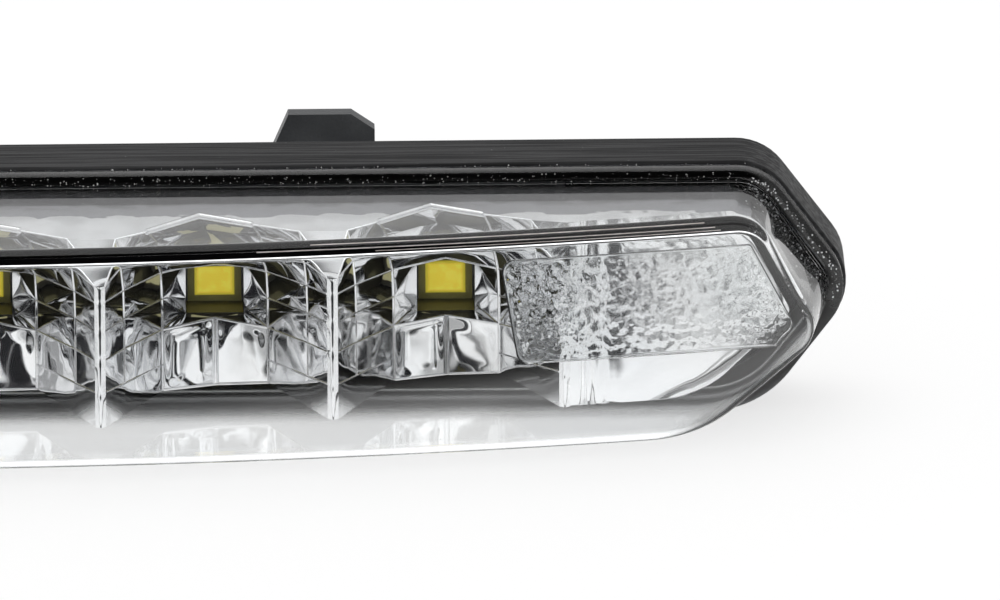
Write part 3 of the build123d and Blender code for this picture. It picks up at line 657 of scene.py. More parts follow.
def wing_fronts(verts, faces):
    """Smooth bowed fronts of the two blank reflector ends."""
    depth = bow(HALF_LENGTH)
    outline = lens_outline(depth, LENS_HALF_HEIGHT + 0.1 * depth / LENS_DEPTH - REFLECTOR_HALF)
    near, far = HALF_SPAN + RIDGE_HALF, max(x for x, _ in outline) - 0.01
    for side in (-1, 1):
        base = len(verts)
        for share in shares(WING_COLUMNS - 1):
            x = near + (far - near) * share
            low, high = outline_span(outline, x)
            for up in shares(WING_ROWS - 1):
                z = low + (high - low) * up
                verts.append(place(side * x, bow(x, RIDGE_SETBACK) + wing_relief(x - near, z), z))
        for column in range(WING_COLUMNS - 1):
            for row in range(WING_ROWS - 1):
                i = base + column * WING_ROWS + row
                faces.append((i, i + WING_ROWS, i + WING_ROWS + 1, i + 1))


def face_toward(target, verts, faces, start):
    """Turn every face from the given one on so that it looks toward the target."""
    for index in range(start, len(faces)):
        a, b, c, d = [verts[i] for i in faces[index]]
        if (c - a).cross(d - b).dot(target - (a + b + c + d) / 4) < 0:
            faces[index] = faces[index][::-1]


def on_roof(face):
    return face.normal.z > 0.9 and face.calc_center_median().z > (MID_HEIGHT + 5.0) * MM


def behind_front(face):
    return face.normal.y >= -0.01 and not on_roof(face)


def cad_faces(name, kept):
    """The faces of the CAD reflector that pass a test, as a mesh of their own."""
    form = bmesh.new()
    form.from_mesh(frame["nodes"]["reflector"].data)
    bmesh.ops.remove_doubles(form, verts=form.verts, dist=1e-7)
    bmesh.ops.delete(form, geom=[f for f in form.faces if not kept(f)], context="FACES")
    mesh = bpy.data.meshes.new(name)
    form.to_mesh(mesh)
    form.free()
    return mesh


def reflector_mesh():
    """Moulded back of the CAD reflector with its front facets made fine."""
    verts = []
    faces = []
    for emitter in EMITTERS:
        start = len(faces)
        for quad in cup_patches(emitter):
            a, b, c, d = quad
            narrow = min((a + d - b - c).length, (a + b - c - d).length) / 2
            pillow_patch(quad, FACET_SWELL * narrow, 8, verts, faces)
        lower_facets(emitter, verts, faces)
        face_toward(place(emitter, 10.0 + bow(emitter), 0.0), verts, faces, start)
    start = len(faces)
    levels = row_levels(ROW_RISE)[:-2] + [RIDGE_TOP]
    last = HALF_SPAN + RIDGE_HALF
    tip = RIDGE_SETBACK + bow(HALF_SPAN)
    brow = [Vector((-last, tip, REFLECTOR_HALF))]
    for emitter in EMITTERS:
        brow += [wall_columns(emitter, side)[1][-1] for side in (-1, 1)]
    brow.append(Vector((last, tip, REFLECTOR_HALF)))
    for index, ridge in enumerate(RIDGES):
        depth = RIDGE_SETBACK + bow(ridge)
        for low, high in zip(levels, levels[1:]):
            round_bar(ridge, depth, low, high, verts, faces)
        nose = [Vector((ridge + s * RIDGE_HALF, depth, RIDGE_TOP)) for s in (-1, 1)]
        pillow_patch((nose[0], nose[1], brow[2 * index + 1], brow[2 * index]), 0.02, 6, verts, faces)
    wing_fronts(verts, faces)
    face_toward(Vector((0.0, -10.0, 0.0)), verts, faces, start)
    mesh = finished_mesh("facets", verts, faces, None, 2e-7)
    moulding = cad_faces("moulding", behind_front)
    moulding.shade_flat()
    form = bmesh.new()
    form.from_mesh(mesh)
    form.from_mesh(moulding)
    form.to_mesh(mesh)
    form.free()
    bpy.data.meshes.remove(moulding)
    return mesh


# Shader groups shared by the materials


FLOAT, VECTOR = "NodeSocketFloat", "NodeSocketVector"


def fill(tree, node, feeds):
    """Give each named input its constant, or join it to the output of another node."""
    for key, value in feeds.items():
        if isinstance(value, bpy.types.NodeSocket):
            tree.links.new(value, node.inputs[key])
        else:
            node.inputs[key].default_value = value


def add_node(tree, kind, feeds={}, **settings):
    """New node with its settings and inputs; returns its outputs."""
    node = tree.nodes.new(kind)
    for key, value in settings.items():
        setattr(node, key, value)
    fill(tree, node, feeds)
    return node.outputs


def ramp(tree, value, low, high, to_low=0.0, to_high=1.0):
    feeds = {"Value": value, "From Min": low, "From Max": high, "To Min": to_low, "To Max": to_high}
    return add_node(tree, "ShaderNodeMapRange", feeds, interpolation_type="SMOOTHSTEP")[0]


def calc(tree, operation, *values):
    return add_node(tree, "ShaderNodeMath", dict(enumerate(values)), operation=operation)[0]


def noise_field(tree, **feeds):
    return add_node(tree, "ShaderNodeTexNoise", feeds)["Fac"]


def shader_group(name, inputs, outputs):
    """Empty shader group with named sockets; returns the tree and its two ends."""
    tree = bpy.data.node_groups.new(name, "ShaderNodeTree")
    tree.interface.new_socket("Vector", in_out="INPUT", socket_type=VECTOR)
    for label, kind, value in inputs:
        tree.interface.new_socket(label, in_out="INPUT", socket_type=kind).default_value = value
    for label in outputs:
        tree.interface.new_socket(label, in_out="OUTPUT", socket_type=FLOAT)
    return tree, tree.nodes.new("NodeGroupInput").outputs, tree.nodes.new("NodeGroupOutput")


def make_streaks():
    """Long fine streaks along one direction."""
    tree, start, end = shader_group("drawn_streaks", [("Stretch", VECTOR, (60, 1500, 1500))], ["Streak"])
    feeds = {0: start["Vector"], 1: start["Stretch"]}
    scaled = add_node(tree, "ShaderNodeVectorMath", feeds, operation="MULTIPLY")[0]
    streak = noise_field(tree, Vector=scaled, Scale=1.0, Detail=5.0, Roughness=0.65)
    fill(tree, end, {"Streak": ramp(tree, streak, 0.32, 0.68)})
    return tree


def make_grain():
    """Fine pitted grain and broad soft patches."""
    inputs = [("Grain size", FLOAT, 4000.0), ("Patch size", FLOAT, 120.0), ("Octaves", FLOAT, 2.0)]
    tree, start, end = shader_group("moulded_grain", inputs, ["Grain", "Patch"])
    fine, broad = [
        noise_field(tree, Vector=start["Vector"], Scale=start[size], Detail=start["Octaves"])
        for size in ("Grain size", "Patch size")
    ]
    fill(tree, end, {"Grain": fine, "Patch": ramp(tree, broad, 0.35, 0.65)})
    return tree


def make_dust():
    """Scattered pale specks, thicker in some places."""
    inputs = [("Speck density", FLOAT, 1400.0), ("Cover", FLOAT, 0.16)]
    tree, start, end = shader_group("settled_dust", inputs, ["Dust"])
    feeds = {"Vector": start["Vector"], "Scale": start["Speck density"]}
    cells = add_node(tree, "ShaderNodeTexVoronoi", feeds)
    drift = noise_field(tree, Vector=start["Vector"], Scale=260.0, Detail=3.0)
    size = calc(tree, "MULTIPLY", start["Cover"], ramp(tree, drift, 0.45, 0.7))
    inside = calc(tree, "SUBTRACT", size, cells["Distance"])
    fill(tree, end, {"Dust": ramp(tree, inside, 0.0, 0.05)})
    return tree


STREAKS = make_streaks()
GRAIN = make_grain()
DUST = make_dust()


# Materials


LENS_INDEX = 1.585
SATIN_ROUGHNESS = 0.5
FILM_EDGE = (16.0, 16.4)
# Depths over which painted shade darkens the bare plastic
FILM_PAINTED_SHADE = (18.6, 20.8)
# Strength of the phosphor's painted glow; the lamp is not lit
PHOSPHOR_GLOW = 0.6


def lamp_y(depth):
    """Place of a depth of the lamp along y of the shared frame, in metres."""
    return (depth - HOLE_DEPTH) * MM


class Shade:
    """Shorthand for building one material's nodes."""

    def __init__(self, name, metallic=0.0):
        self.material = bpy.data.materials.new(name)
        self.material.use_nodes = True
        self.tree = self.material.node_tree
        self.tree.nodes.clear()
        self.out = self.tree.nodes.new("ShaderNodeOutputMaterial")
        self.bsdf = self.tree.nodes.new("ShaderNodeBsdfPrincipled")
        self.paint = self.bsdf.outputs["BSDF"]
        self.feed("Metallic", metallic)
        self.show(self.paint)
        self.spot = self.add("ShaderNodeTexCoord")["Object"]

    def add(self, kind, feeds={}, **settings):
        return add_node(self.tree, kind, feeds, **settings)

    def show(self, shader):
        fill(self.tree, self.out, {"Surface": shader})

    def feed(self, socket, value):
        fill(self.tree, self.bsdf, {socket: value})

    def axes(self):
        return self.add("ShaderNodeSeparateXYZ", {0: self.spot})

    def ray(self, kind):
        return self.add("ShaderNodeLightPath")[kind]

    def mark(self, name):
        return self.add("ShaderNodeAttribute", attribute_name=name)["Fac"]

    def group(self, tree, **values):
        feeds = {key.replace("_", " "): value for key, value in values.items()}
        return self.add("ShaderNodeGroup", {"Vector": self.spot, **feeds}, node_tree=tree)

    def mix(self, mask, first, second):
        """Two colours mixed by a mask."""
        first, second = [(*c, 1.0) if isinstance(c, tuple) else c for c in (first, second)]
        return self.add("ShaderNodeMix", {0: mask, 6: first, 7: second}, data_type="RGBA")[2]

    def either(self, mask, first, second):
        """Two shaders mixed by a fixed share or a mask."""
        return self.add("ShaderNodeMixShader", {0: mask, 1: first, 2: second})[0]

    def ramp(self, *values):
        return ramp(self.tree, *values)

    def math(self, operation, *values):
        return calc(self.tree, operation, *values)

    def gloss(self, pattern, low, high):
        self.feed("Roughness", self.ramp(pattern, 0.0, 1.0, low, high))

    def bump(self, height, distance):
        feeds = {"Height": height, "Distance": distance, "Strength": 1.0}
        self.feed("Normal", self.add("ShaderNodeBump", feeds)["Normal"])

    def clear(self):
        """Clear plastic that casts only a faint shadow."""
        self.feed("Transmission Weight", 1.0)
        self.feed("IOR", LENS_INDEX)
        through = self.add("ShaderNodeBsdfTransparent", {"Color": (0.9, 0.9, 0.9, 1.0)})[0]
        self.show(self.either(self.ray("Is Shadow Ray"), self.paint, through))


def low_painted_light_mask(shade, depth, top):
    """One on a face at this depth below this height, where a pale band of painted light stands in for floor
    light that does not reach the joint.
    """
    axes = shade.axes()
    off = shade.math("ABSOLUTE", shade.math("SUBTRACT", axes["Y"], lamp_y(depth)))
    face = shade.ramp(off, 0.03 * MM, 0.06 * MM, 1.0, 0.0)
    low = shade.ramp(axes["Z"], (top - 1.4) * MM, top * MM, 1.0, 0.0)
    return shade.math("MULTIPLY", face, low)


def worked_finish(
    name, dark, light, rough, metallic=0.0, stretch=None, grain=4000.0, pit=3e-5, dust=0.0,
    painted_in_mirrors=None, joint_film=None, shine=0.5,
):
    """Opaque finish: streaks or patches in colour and gloss, fine grain, settled dust; where asked, a pale
    band of painted light low in the joint and a painted colour that mirrors see.
    """
    shade = Shade(name, metallic)
    shade.feed("Specular IOR Level", shine)
    field = shade.group(GRAIN, Grain_size=grain)
    pattern, height = field["Patch"], field["Grain"]
    if stretch:
        pattern = shade.group(STREAKS, Stretch=stretch)["Streak"]
        height = shade.math("MULTIPLY", shade.math("ADD", pattern, height), 0.5)
    colour = shade.mix(pattern, dark, light)
    if dust:
        colour = shade.mix(shade.group(DUST, Cover=dust)["Dust"], colour, (0.62, 0.62, 0.61))
    # Painted light: a pale band low on the joint face, where floor light would fall
    if joint_film:
        painted_light_colour, depth, top = joint_film
        colour = shade.mix(low_painted_light_mask(shade, depth, top), colour, painted_light_colour)
    # Painted reflection: mirrors see this colour in place of the surface's own
    if painted_in_mirrors:
        colour = shade.mix(shade.ray("Is Reflection Ray"), colour, painted_in_mirrors)
    shade.feed("Base Color", colour)
    shade.gloss(pattern, *rough)
    shade.bump(height, pit)
    return shade.material


def clear_lens():
    """Water-clear moulded cover, satin where the mesh says so."""
    shade = Shade("clear_lens")
    patch = shade.group(GRAIN, Grain_size=900.0, Patch_size=60.0, Octaves=0.0)["Patch"]
    shade.feed("Base Color", shade.mix(patch, (0.965, 0.975, 0.98), (0.985, 0.99, 0.99)))
    gloss = shade.ramp(patch, 0.3, 0.7, 0.0, 0.012)
    satin = shade.math("MULTIPLY", shade.mark("satin"), SATIN_ROUGHNESS)
    shade.feed("Roughness", shade.math("ADD", gloss, satin))
    shade.clear()
    return shade.material


def pebbled_panel():
    """Clear pad with a fine grain over the pebble of its inner face."""
    shade = Shade("pebbled_panel")
    field = shade.group(GRAIN, Grain_size=3600.0, Patch_size=150.0, Octaves=0.0)
    shade.feed("Base Color", shade.mix(field["Patch"], (0.93, 0.94, 0.94), (0.98, 0.985, 0.985)))
    shade.gloss(field["Patch"], 0.06, 0.13)
    shade.bump(shade.math("MULTIPLY", field["Grain"], shade.mark("pebbled")), 3.5e-5)
    shade.clear()
    return shade.material


def mirror_film():
    """Vacuum-metallised reflector with a faint moulded ripple; the window jambs carry a painted olive-yellow
    reflection of the light source, dark where mirrors see them.
    """
    shade = Shade("mirror_film", 1.0)
    field = shade.group(GRAIN, Grain_size=700.0, Patch_size=90.0, Octaves=0.0)
    jamb = shade.ramp(shade.axes()["Y"], lamp_y(FLOOR_DEPTH - 0.05), lamp_y(FLOOR_DEPTH + 0.15))
    # Painted reflection: olive-yellow where the jambs mirror the light source, near black as seen in other
    # mirrors
    painted_led_tint = shade.mix(shade.ray("Is Reflection Ray"), (0.66, 0.58, 0.15), (0.12, 0.118, 0.10))
    film = shade.mix(field["Patch"], (0.86, 0.865, 0.875), (0.91, 0.913, 0.918))
    shade.feed("Base Color", shade.mix(jamb, film, painted_led_tint))
    shade.feed("Metallic", shade.ramp(jamb, 0.0, 1.0, 1.0, 0.3))
    shade.gloss(field["Patch"], 0.02, 0.07)
    shade.bump(field["Grain"], 1.2e-5)
    return shade.material


def film_edges():
    """Metallised fold lines, a little rough where the film turns the corner."""
    shade = Shade("film_edges", 1.0)
    patch = shade.group(GRAIN, Grain_size=2600.0, Patch_size=400.0, Octaves=0.0)["Patch"]
    shade.feed("Base Color", shade.mix(patch, (0.84, 0.845, 0.855), (0.95, 0.95, 0.955)))
    shade.gloss(patch, 0.08, 0.2)
    return shade.material


def thinning_film():
    """Matte edge of the metal film: bright in front, ragged, bare plastic behind that painted shade darkens
    toward the back.
    """
    shade = Shade("thinning_film")
    field = shade.group(GRAIN, Grain_size=2600.0, Patch_size=330.0)
    wander = shade.math("MULTIPLY", field["Patch"], 1.3 * MM)
    depth = shade.math("ADD", shade.axes()["Y"], wander)
    bare, deep = [shade.ramp(depth, lamp_y(near), lamp_y(far)) for near, far in (FILM_EDGE, FILM_PAINTED_SHADE)]
    film = shade.mix(field["Patch"], (0.86, 0.865, 0.87), (0.93, 0.935, 0.94))
    # Painted shade: the bare plastic goes from grey to near black toward the back
    plastic = shade.mix(deep, (0.20, 0.20, 0.215), (0.05, 0.05, 0.055))
    shade.feed("Base Color", shade.mix(bare, film, plastic))
    shade.feed("Metallic", shade.ramp(bare, 0.0, 1.0, 0.85, 0.0))
    shade.gloss(field["Patch"], 0.42, 0.55)
    shade.bump(field["Grain"], 2e-5)
    return shade.material


def phosphor():
    """Bright yellow phosphor, darker and greener toward its edge, with a painted glow though the lamp is not
    lit; mirrors see a duller painted colour.
    """
    shade = Shade("phosphor_yellow")
    axes = shade.axes()
    half_pitch = 0.5 * PITCH * MM
    along = shade.math("PINGPONG", shade.math("SUBTRACT", axes["X"], half_pitch), half_pitch)
    up = shade.math("ABSOLUTE", shade.math("SUBTRACT", axes["Z"], MID_HEIGHT * MM))
    ends, rims = shade.ramp(along, 1.35 * MM, 1.85 * MM), shade.ramp(up, 1.1 * MM, 1.5 * MM)
    field = shade.group(GRAIN, Grain_size=9000.0, Patch_size=900.0)
    body = shade.mix(field["Patch"], (0.80, 0.64, 0.055), (0.88, 0.73, 0.085))
    glow = shade.mix(shade.math("MAXIMUM", ends, rims), body, (0.52, 0.43, 0.03))
    # Painted reflection: reflection rays see a duller colour and glow
    mirrored = shade.ray("Is Reflection Ray")
    shade.feed("Base Color", shade.mix(mirrored, glow, (0.45, 0.43, 0.28)))
    shade.feed("Emission Color", shade.mix(mirrored, glow, (0.46, 0.43, 0.22)))
    # Painted glow: the phosphor emits light though the lamp is not lit
    shade.feed("Emission Strength", PHOSPHOR_GLOW)
    shade.feed("Roughness", shade.ramp(field["Grain"], 0.3, 0.7, 0.35, 0.6))
    shade.bump(field["Grain"], 2e-5)
    return shade.material


def grey(value):
    return (value, value, value)


ALONG_X = (60, 1900, 1900)
ALONG_Z = (1900, 1900, 60)
METAL = {"metallic": 1.0}
CAST_METAL = dict(METAL, stretch=ALONG_Z, grain=5000.0)
# Painted light: a pale band low on the seal's face behind the tongue
SEAL_PAINTED_LIGHT = {"joint_film": ((0.8, 0.79, 0.82), TONGUE_BACK, 10.0)}
RIM = {
    "stretch": ALONG_X,
    "grain": 5000.0,
    "pit": 5e-5,
    "dust": 0.08,
    # Painted light: a pale band low on the rim's face behind the cover's lip
    "joint_film": ((0.76, 0.75, 0.79), LENS_DEPTH, 4.0),
    "shine": 0.12,
}
COATED = {"grain": 3200.0, "pit": 9e-5, "dust": 0.08}
# Painted reflection: the package looks dark and neutral in the mirrors
PACKAGE = {"painted_in_mirrors": (0.14, 0.137, 0.115)}
CHIP_DARK = (0.012, 0.012, 0.013)
FINISHES = {"phosphor_yellow": phosphor()}
for name, dark, light, rough, more in (
    ("sealant", CHIP_DARK, grey(0.03), (0.3, 0.5), SEAL_PAINTED_LIGHT),
    ("black_housing", (0.005, 0.005, 0.0055), (0.024, 0.024, 0.025), (0.6, 0.44), RIM),
    ("board_white", (0.76, 0.76, 0.73), (0.84, 0.84, 0.82), (0.3, 0.42), {}),
    ("package_white", (0.36, 0.33, 0.10), (0.48, 0.44, 0.15), (0.35, 0.5), PACKAGE),
    ("pad_grey", (0.3, 0.34, 0.4), (0.4, 0.44, 0.5), (0.6, 0.8), {}),
    ("sink_aluminium", (0.5, 0.51, 0.52), (0.68, 0.69, 0.7), (0.42, 0.26), CAST_METAL),
    ("gasket_rubber", grey(0.014), grey(0.03), (0.55, 0.75), {}),
    ("screw_steel", (0.5, 0.5, 0.47), grey(0.66), (0.22, 0.36), METAL),
    ("washer_steel", (0.48, 0.48, 0.46), grey(0.62), (0.25, 0.4), METAL),
    ("chip_black", CHIP_DARK, grey(0.03), (0.4, 0.55), {}),
    ("ferrite_grey", (0.05, 0.05, 0.055), (0.09, 0.09, 0.095), (0.45, 0.6), {}),
    ("capacitor_tan", (0.4, 0.27, 0.15), (0.55, 0.4, 0.25), (0.35, 0.5), {}),
    ("connector_white", (0.74, 0.73, 0.68), (0.82, 0.81, 0.77), (0.35, 0.5), {}),
    ("grommet_rubber", grey(0.014), grey(0.032), (0.5, 0.7), {"dust": 0.1}),
    ("vent_plastic", grey(0.02), grey(0.04), (0.4, 0.55), {}),
    ("bracket_black", (0.036, 0.038, 0.041), (0.062, 0.065, 0.068), (0.42, 0.6), COATED),
):
    FINISHES[name] = worked_finish(name, dark, light, rough, **more)

for sub in frame["record"]["subparts"]:
    finish = FINISHES.get(sub["material_slot"])
    if finish:
        mesh = frame["nodes"][sub["node"]].data
        mesh.materials.clear()
        mesh.materials.append(finish)


# Pieces grown along paths


def geometry_group(name, inputs):
    """Empty geometry group with named inputs; returns the tree and its two ends."""
    tree = bpy.data.node_groups.new(name, "GeometryNodeTree")
    for label, kind in (("Geometry", "NodeSocketGeometry"), *inputs, ("Material", "NodeSocketMaterial")):
        tree.interface.new_socket(label, in_out="INPUT", socket_type=kind)
    tree.interface.new_socket("Geometry", in_out="OUTPUT", socket_type="NodeSocketGeometry")
    return tree, tree.nodes.new("NodeGroupInput").outputs, tree.nodes.new("NodeGroupOutput")


def close_group(tree, geometry, start, end):
    """Realise, smooth and give the material, as every grown piece ends."""
    whole = add_node(tree, "GeometryNodeRealizeInstances", {0: geometry})[0]
    smooth = add_node(tree, "GeometryNodeSetShadeSmooth", {"Geometry": whole})[0]
    feeds = {"Geometry": smooth, "Material": start["Material"]}
    fill(tree, end, {0: add_node(tree, "GeometryNodeSetMaterial", feeds)[0]})
    return tree


def make_bead_group():
    """A round bead laid along every line of the input."""
    tree, start, end = geometry_group("bead_along_lines", [("Bead radius", FLOAT)])
    curve = add_node(tree, "GeometryNodeMeshToCurve", {"Mesh": start["Geometry"]})[0]
    feeds = {"Resolution": 10, "Radius": start["Bead radius"]}
    section = add_node(tree, "GeometryNodeCurvePrimitiveCircle", feeds)[0]
    feeds = {"Curve": curve, "Profile Curve": section, "Fill Caps": True}
    return close_group(tree, add_node(tree, "GeometryNodeCurveToMesh", feeds)[0], start, end)


def make_scatter_group():
    """Small round grains of mixed size scattered about the input points."""
    inputs = [("Smallest", FLOAT), ("Largest", FLOAT), ("Spread", VECTOR), ("Seed", "NodeSocketInt")]
    tree, start, end = geometry_group("grains_about_points", inputs)
    points = add_node(tree, "GeometryNodeMeshToPoints", {"Mesh": start["Geometry"]})[0]
    back = add_node(tree, "ShaderNodeVectorMath", {0: start["Spread"], "Scale": -1.0}, operation="SCALE")[0]
    feeds = {0: back, 1: start["Spread"], "Seed": start["Seed"]}
    shift = add_node(tree, "FunctionNodeRandomValue", feeds, data_type="FLOAT_VECTOR")[0]
    moved = add_node(tree, "GeometryNodeSetPosition", {"Geometry": points, "Offset": shift})[0]
    ball = add_node(tree, "GeometryNodeMeshIcoSphere", {"Subdivisions": 2, "Radius": 1.0})[0]
    feeds = {2: start["Smallest"], 3: start["Largest"], "Seed": start["Seed"]}
    size = add_node(tree, "FunctionNodeRandomValue", feeds, data_type="FLOAT")[1]
    feeds = {"Points": moved, "Instance": ball, "Scale": size}
    return close_group(tree, add_node(tree, "GeometryNodeInstanceOnPoints", feeds)[0], start, end)


def grown_mesh(name, verts, edges, tree, **values):
    """Evaluate a geometry group on a path and keep the result as a plain mesh."""
    seed = bpy.data.meshes.new(name + "_path")
    seed.from_pydata(verts, edges, [])
    holder = in_scene(name + "_path", seed)
    modifier = holder.modifiers.new("grow", "NODES")
    modifier.node_group = tree
    for item in tree.interface.items_tree:
        key = item.name.replace(" ", "_")
        if item.in_out == "INPUT" and key in values:
            modifier[item.identifier] = values[key]
    bpy.context.view_layer.update()
    graph = bpy.context.evaluated_depsgraph_get()
    mesh = bpy.data.meshes.new_from_object(holder.evaluated_get(graph))
    mesh.name = name
    bpy.data.objects.remove(holder)
    bpy.data.meshes.remove(seed)
    return mesh


BEADS = make_bead_group()
GRAINS = make_scatter_group()
LINE_RADII = {"facet_folds": 0.095, "cup_lines": 0.13, "centre_ribs": 0.3}
EDGE_LINES = ((9.95, 41.0, 77.5), (9.6, 36.0, 78.5), (9.3, 47.0, 79.0))
EDGE_LINE_SETBACK = 0.75
EDGE_LINE_RADIUS = 0.035


def facet_lines():
    """Fold lines of all cups by weight: fine wall folds, cup lines and centre ribs."""
    fine, lines, ribs = [], [], []
    for emitter in EMITTERS:
        fold_low, fold_high = [Vector((emitter, FOLD_DEPTH, level)) for level in (-ROW_LOW, ROW_LOW)]
        for side in (-1, 1):
            ridge, fold, line = wall_columns(emitter, side)
            fine += [[ridge[level], fold[level], line[level]] for level in range(1, 6)]
            fine += [[ridge[5], fold[6], line[6]], fold[1:]]
            lines += [line, [line[2], fold_low]]
            fine.append([line[4], fold_high])
            lines.append([line[0], edge_point(emitter, -1)])
            ribs.append([line[6], edge_point(emitter, 1)])
        ribs.append([fold_low, edge_point(emitter, -1)])
    return fine, lines, ribs


def beads(name, paths, radius, material):
    verts = []
    edges = []
    for path in paths:
        base = len(verts)
        verts += [place(*point) for point in path]
        edges += [(base + i, base + i + 1) for i in range(len(path) - 1)]
    return grown_mesh(name, verts, edges, BEADS, Bead_radius=radius * MM, Material=material)


def add_reflector():
    edges = film_edges()
    piece = new_piece("reflector_facets", reflector_mesh(), mirror_film(), "metallised_reflector")
    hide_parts("reflector")
    new_piece("reflector_top", cad_faces("reflector_top", on_roof), thinning_film(), "metallised_reflector")
    for (name, radius), paths in zip(LINE_RADII.items(), facet_lines()):
        new_piece(name, beads(name, paths, radius, edges), edges, "metallised_reflector")


def end_wall_points():
    """Points low on the cover's end walls, where air was trapped in the joint."""
    spots = []
    for depth in (17.0, 19.0, 20.4):
        outline = lens_outline(depth, LENS_WALL * 0.5)
        spots += [place(x, depth, z) for x, z in outline if abs(x) > HALF_LENGTH - 9.5 and z > 1.5]
    return spots


def add_joint_grains():
    """Dust in the joint between lens and rim, and glue bubbles round the ends."""
    speck = worked_finish("settled_specks", (0.42, 0.42, 0.41), (0.78, 0.78, 0.77), (0.5, 0.7))
    bubble = worked_finish("glue_bubbles", (0.55, 0.56, 0.57), (0.9, 0.91, 0.92), (0.12, 0.3))

    def along_top(inset, before_lip, each):
        path = [p for p in rim_outline(inset) if p[1] > 0 and abs(p[0]) < HALF_LENGTH - 10.0]
        return [place(x, LENS_DEPTH - before_lip, z) for x, z in path for _ in range(each)]

    ends = [p for p in rim_outline(1.0) if p[1] > -1.0 and abs(p[0]) > HALF_LENGTH - 9.0]
    foam = [place(x, LENS_DEPTH - 1.9, z) for x, z in ends for _ in range(3)]
    dust, fluff = along_top(0.95, 1.87, 6), along_top(0.35, 0.05, 3)
    for name, spots, sizes, spread, seed, finish, slot in (
        ("joint_dust", dust, (0.012, 0.06), (1.0, 0.02, 0.4), 7, speck, "black_housing"),
        ("rim_edge_dust", fluff, (0.012, 0.05), (1.0, 0.12, 0.16), 11, speck, "black_housing"),
        ("glue_bubbles", foam, (0.02, 0.1), (0.35, 0.04, 0.35), 5, bubble, "sealant"),
        ("wall_bubbles", end_wall_points(), (0.03, 0.12), (0.3, 1.8, 0.35), 3, bubble, "clear_lens"),
    ):
        values = {"Smallest": sizes[0] * MM, "Largest": sizes[1] * MM, "Seed": seed, "Material": finish}
        values["Spread"] = tuple(way * MM for way in spread)
        new_piece(name, grown_mesh(name, spots, [], GRAINS, **values), finish, slot)


def add_edge_lines():
    """Fine pale lines inside the cover's upper edge, toward each end."""
    finish = worked_finish("edge_lines", (0.55, 0.47, 0.44), (0.92, 0.86, 0.83), (0.2, 0.35), stretch=ALONG_X)
    paths = []
    for side in (-1, 1):
        for height, near, far in EDGE_LINES:
            steps = [near + (far - near) * i / 30 for i in range(31)]
            paths.append([Vector((side * x, bow(x) + EDGE_LINE_SETBACK, height)) for x in steps])
    mesh = beads("cover_edge_lines", paths, EDGE_LINE_RADIUS, finish)
    new_piece("cover_edge_lines", mesh, finish, "clear_lens")


lens = new_piece("lens_cover_clear", lens_mesh(), clear_lens(), "clear_lens")
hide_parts("lens_cover")
new_piece("end_panels", end_panels_mesh(), pebbled_panel(), "clear_lens")
add_reflector()
add_joint_grains()
add_edge_lines()


# Stage, light and camera

# Floor, in metres; a fade runs from its first number to its second
FLOOR_SIZE = 60.0
FLOOR_GLOW = 1.1
FLOOR_LIFT = 0.72
# Painted dark patch ahead of the lamp, seen only by metal and glass
DARK_PATCH_FRONT_FADE = (-0.080, -0.068)
DARK_PATCH_SIDE_FADE = (0.080, 0.125)
GLOW_FRONT_FADE = (-0.033, -0.020)
GLOW_SIDE_FADE = (0.068, 0.080)
# Sky, with fades by the direction looked in
ROOM_LIGHT = 0.75
DARK_WAY = (0.0, -0.96, 0.28)
DARK_FADE = (0.925, 0.98)
DARK_LEAST = 0.03
SKY_HEIGHT_FADE, SKY_LOW, SKY_HIGH = (0.30, 0.58), 0.5, 1.08
SKY_SIDE_FADE, SKY_SIDE = (0.45, 0.8), 0.9
# Lamp overhead, in metres and watts
LAMP_AT, LAMP_AIM = (0.1, 0.15, 1.1), (0.05, 0.0, 0.0)
LAMP_SIZE, LAMP_POWER = (1.4, 1.0), 6.0
# Camera: distance and view width in metres, sensor and aim in mm, angles in degrees
CAMERA_DISTANCE = 2.55
SENSOR_WIDTH = 36.0
VIEW_WIDTH = 92.25 * MM
VIEW_AIM = (58.45, 0.0, 5.5)
VIEW_ANGLES = (-1.0, 16.0, 0.29)


def seen_in_gloss(tree):
    """One for rays that come by way of metal or glass."""
    path = add_node(tree, "ShaderNodeLightPath")
    return calc(tree, "MAXIMUM", path["Is Glossy Ray"], path["Is Transmission Ray"])


def white_floor():
    """Pale floor; metal and glass see it glow, with a painted dark patch ahead of the lamp that only they
    see.
    """
    bpy.ops.mesh.primitive_plane_add(size=FLOOR_SIZE, location=(0, 0, 0))
    floor = bpy.context.object
    floor.name = "floor"
    shade = Shade("floor_white")
    patch = shade.group(GRAIN, Grain_size=400.0, Patch_size=3.0)["Patch"]
    shade.feed("Base Color", shade.mix(patch, grey(0.93), grey(0.95)))
    shade.feed("Roughness", 0.9)
    axes = shade.axes()
    sideways = shade.math("ABSOLUTE", axes["X"])
    ahead = shade.ramp(axes["Y"], *DARK_PATCH_FRONT_FADE, 1.0, 0.0)
    dark_patch = shade.math("MULTIPLY", ahead, shade.ramp(sideways, *DARK_PATCH_SIDE_FADE, 1.0, 0.0))
    # Painted reflection: metal and glass see white glow, dark in the patch ahead
    glow_colour = shade.mix(dark_patch, grey(1.0), (0.02, 0.02, 0.022))
    glow = shade.add("ShaderNodeEmission", {"Color": glow_colour, "Strength": FLOOR_GLOW})[0]
    front = shade.ramp(axes["Y"], *GLOW_FRONT_FADE, 1.0, 0.0)
    open_floor = shade.math("MAXIMUM", front, shade.ramp(sideways, *GLOW_SIDE_FADE))
    glowing = shade.math("MULTIPLY", seen_in_gloss(shade.tree), open_floor)
    in_gloss = shade.either(glowing, shade.paint, glow)
    to_camera = shade.either(FLOOR_LIFT, shade.paint, shade.add("ShaderNodeEmission")[0])
    shade.show(shade.either(shade.ray("Is Camera Ray"), in_gloss, to_camera))
    floor.data.materials.append(shade.material)


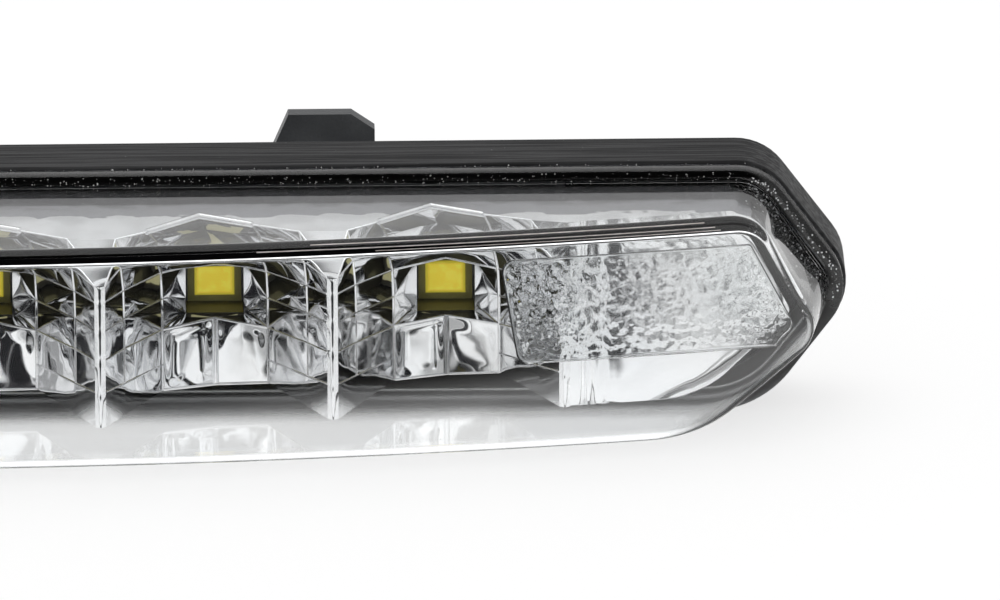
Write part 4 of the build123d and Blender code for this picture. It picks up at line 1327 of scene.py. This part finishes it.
def studio_world():
    """White all round, with the dark side of the room in front of the lamp."""
    world = bpy.data.worlds.new("studio")
    bpy.context.scene.world = world
    world.use_nodes = True
    tree = world.node_tree
    way = add_node(tree, "ShaderNodeTexCoord")["Generated"]
    ahead = add_node(tree, "ShaderNodeVectorMath", {0: way, 1: DARK_WAY}, operation="DOT_PRODUCT")["Value"]
    axes = add_node(tree, "ShaderNodeSeparateXYZ", {0: way})
    height = ramp(tree, axes["Z"], *SKY_HEIGHT_FADE, SKY_LOW, SKY_HIGH)
    side = ramp(tree, calc(tree, "ABSOLUTE", axes["X"]), *SKY_SIDE_FADE, 0.0, SKY_SIDE)
    left = calc(tree, "SUBTRACT", 1.0 + DARK_LEAST, ramp(tree, ahead, *DARK_FADE))
    seen = calc(tree, "MULTIPLY", calc(tree, "MAXIMUM", height, side), left)
    room = add_node(tree, "ShaderNodeMix", {0: seen_in_gloss(tree), 2: ROOM_LIGHT, 3: seen})[0]
    to_camera = add_node(tree, "ShaderNodeLightPath")["Is Camera Ray"]
    shown = add_node(tree, "ShaderNodeMix", {0: to_camera, 2: room, 3: 1.0})[0]
    fill(tree, tree.nodes["Background"], {"Color": (1.0, 1.0, 1.0, 1.0), "Strength": shown})


def overhead_lamp():
    """Broad soft lamp that mirrors do not show."""
    data = bpy.data.lights.new("overhead", "AREA")
    data.shape = "RECTANGLE"
    data.size, data.size_y = LAMP_SIZE
    data.energy = LAMP_POWER
    lamp = in_scene("overhead", data)
    lamp.visible_glossy = False
    lamp.location = LAMP_AT
    lamp.rotation_euler = (Vector(LAMP_AIM) - lamp.location).to_track_quat("-Z", "Y").to_euler()


def photo_camera():
    """Distant camera with a long lens, aimed at the right half of the lamp."""
    data = bpy.data.cameras.new("camera")
    data.sensor_width = SENSOR_WIDTH
    data.lens = SENSOR_WIDTH * CAMERA_DISTANCE / VIEW_WIDTH
    data.clip_end = 20.0
    camera = in_scene("camera", data)
    azimuth, elevation, roll = [math.radians(angle) for angle in VIEW_ANGLES]
    level = math.cos(elevation)
    way = Vector((math.sin(azimuth) * level, -math.cos(azimuth) * level, math.sin(elevation)))
    camera.location = place(*VIEW_AIM) + way * CAMERA_DISTANCE
    turn = (-way).to_track_quat("-Z", "Y") @ Quaternion((0, 0, 1), -roll)
    camera.rotation_euler = turn.to_euler()
    bpy.context.scene.camera = camera


white_floor()
studio_world()
overhead_lamp()
photo_camera()
bpy.context.scene.view_settings.view_transform = "Standard"
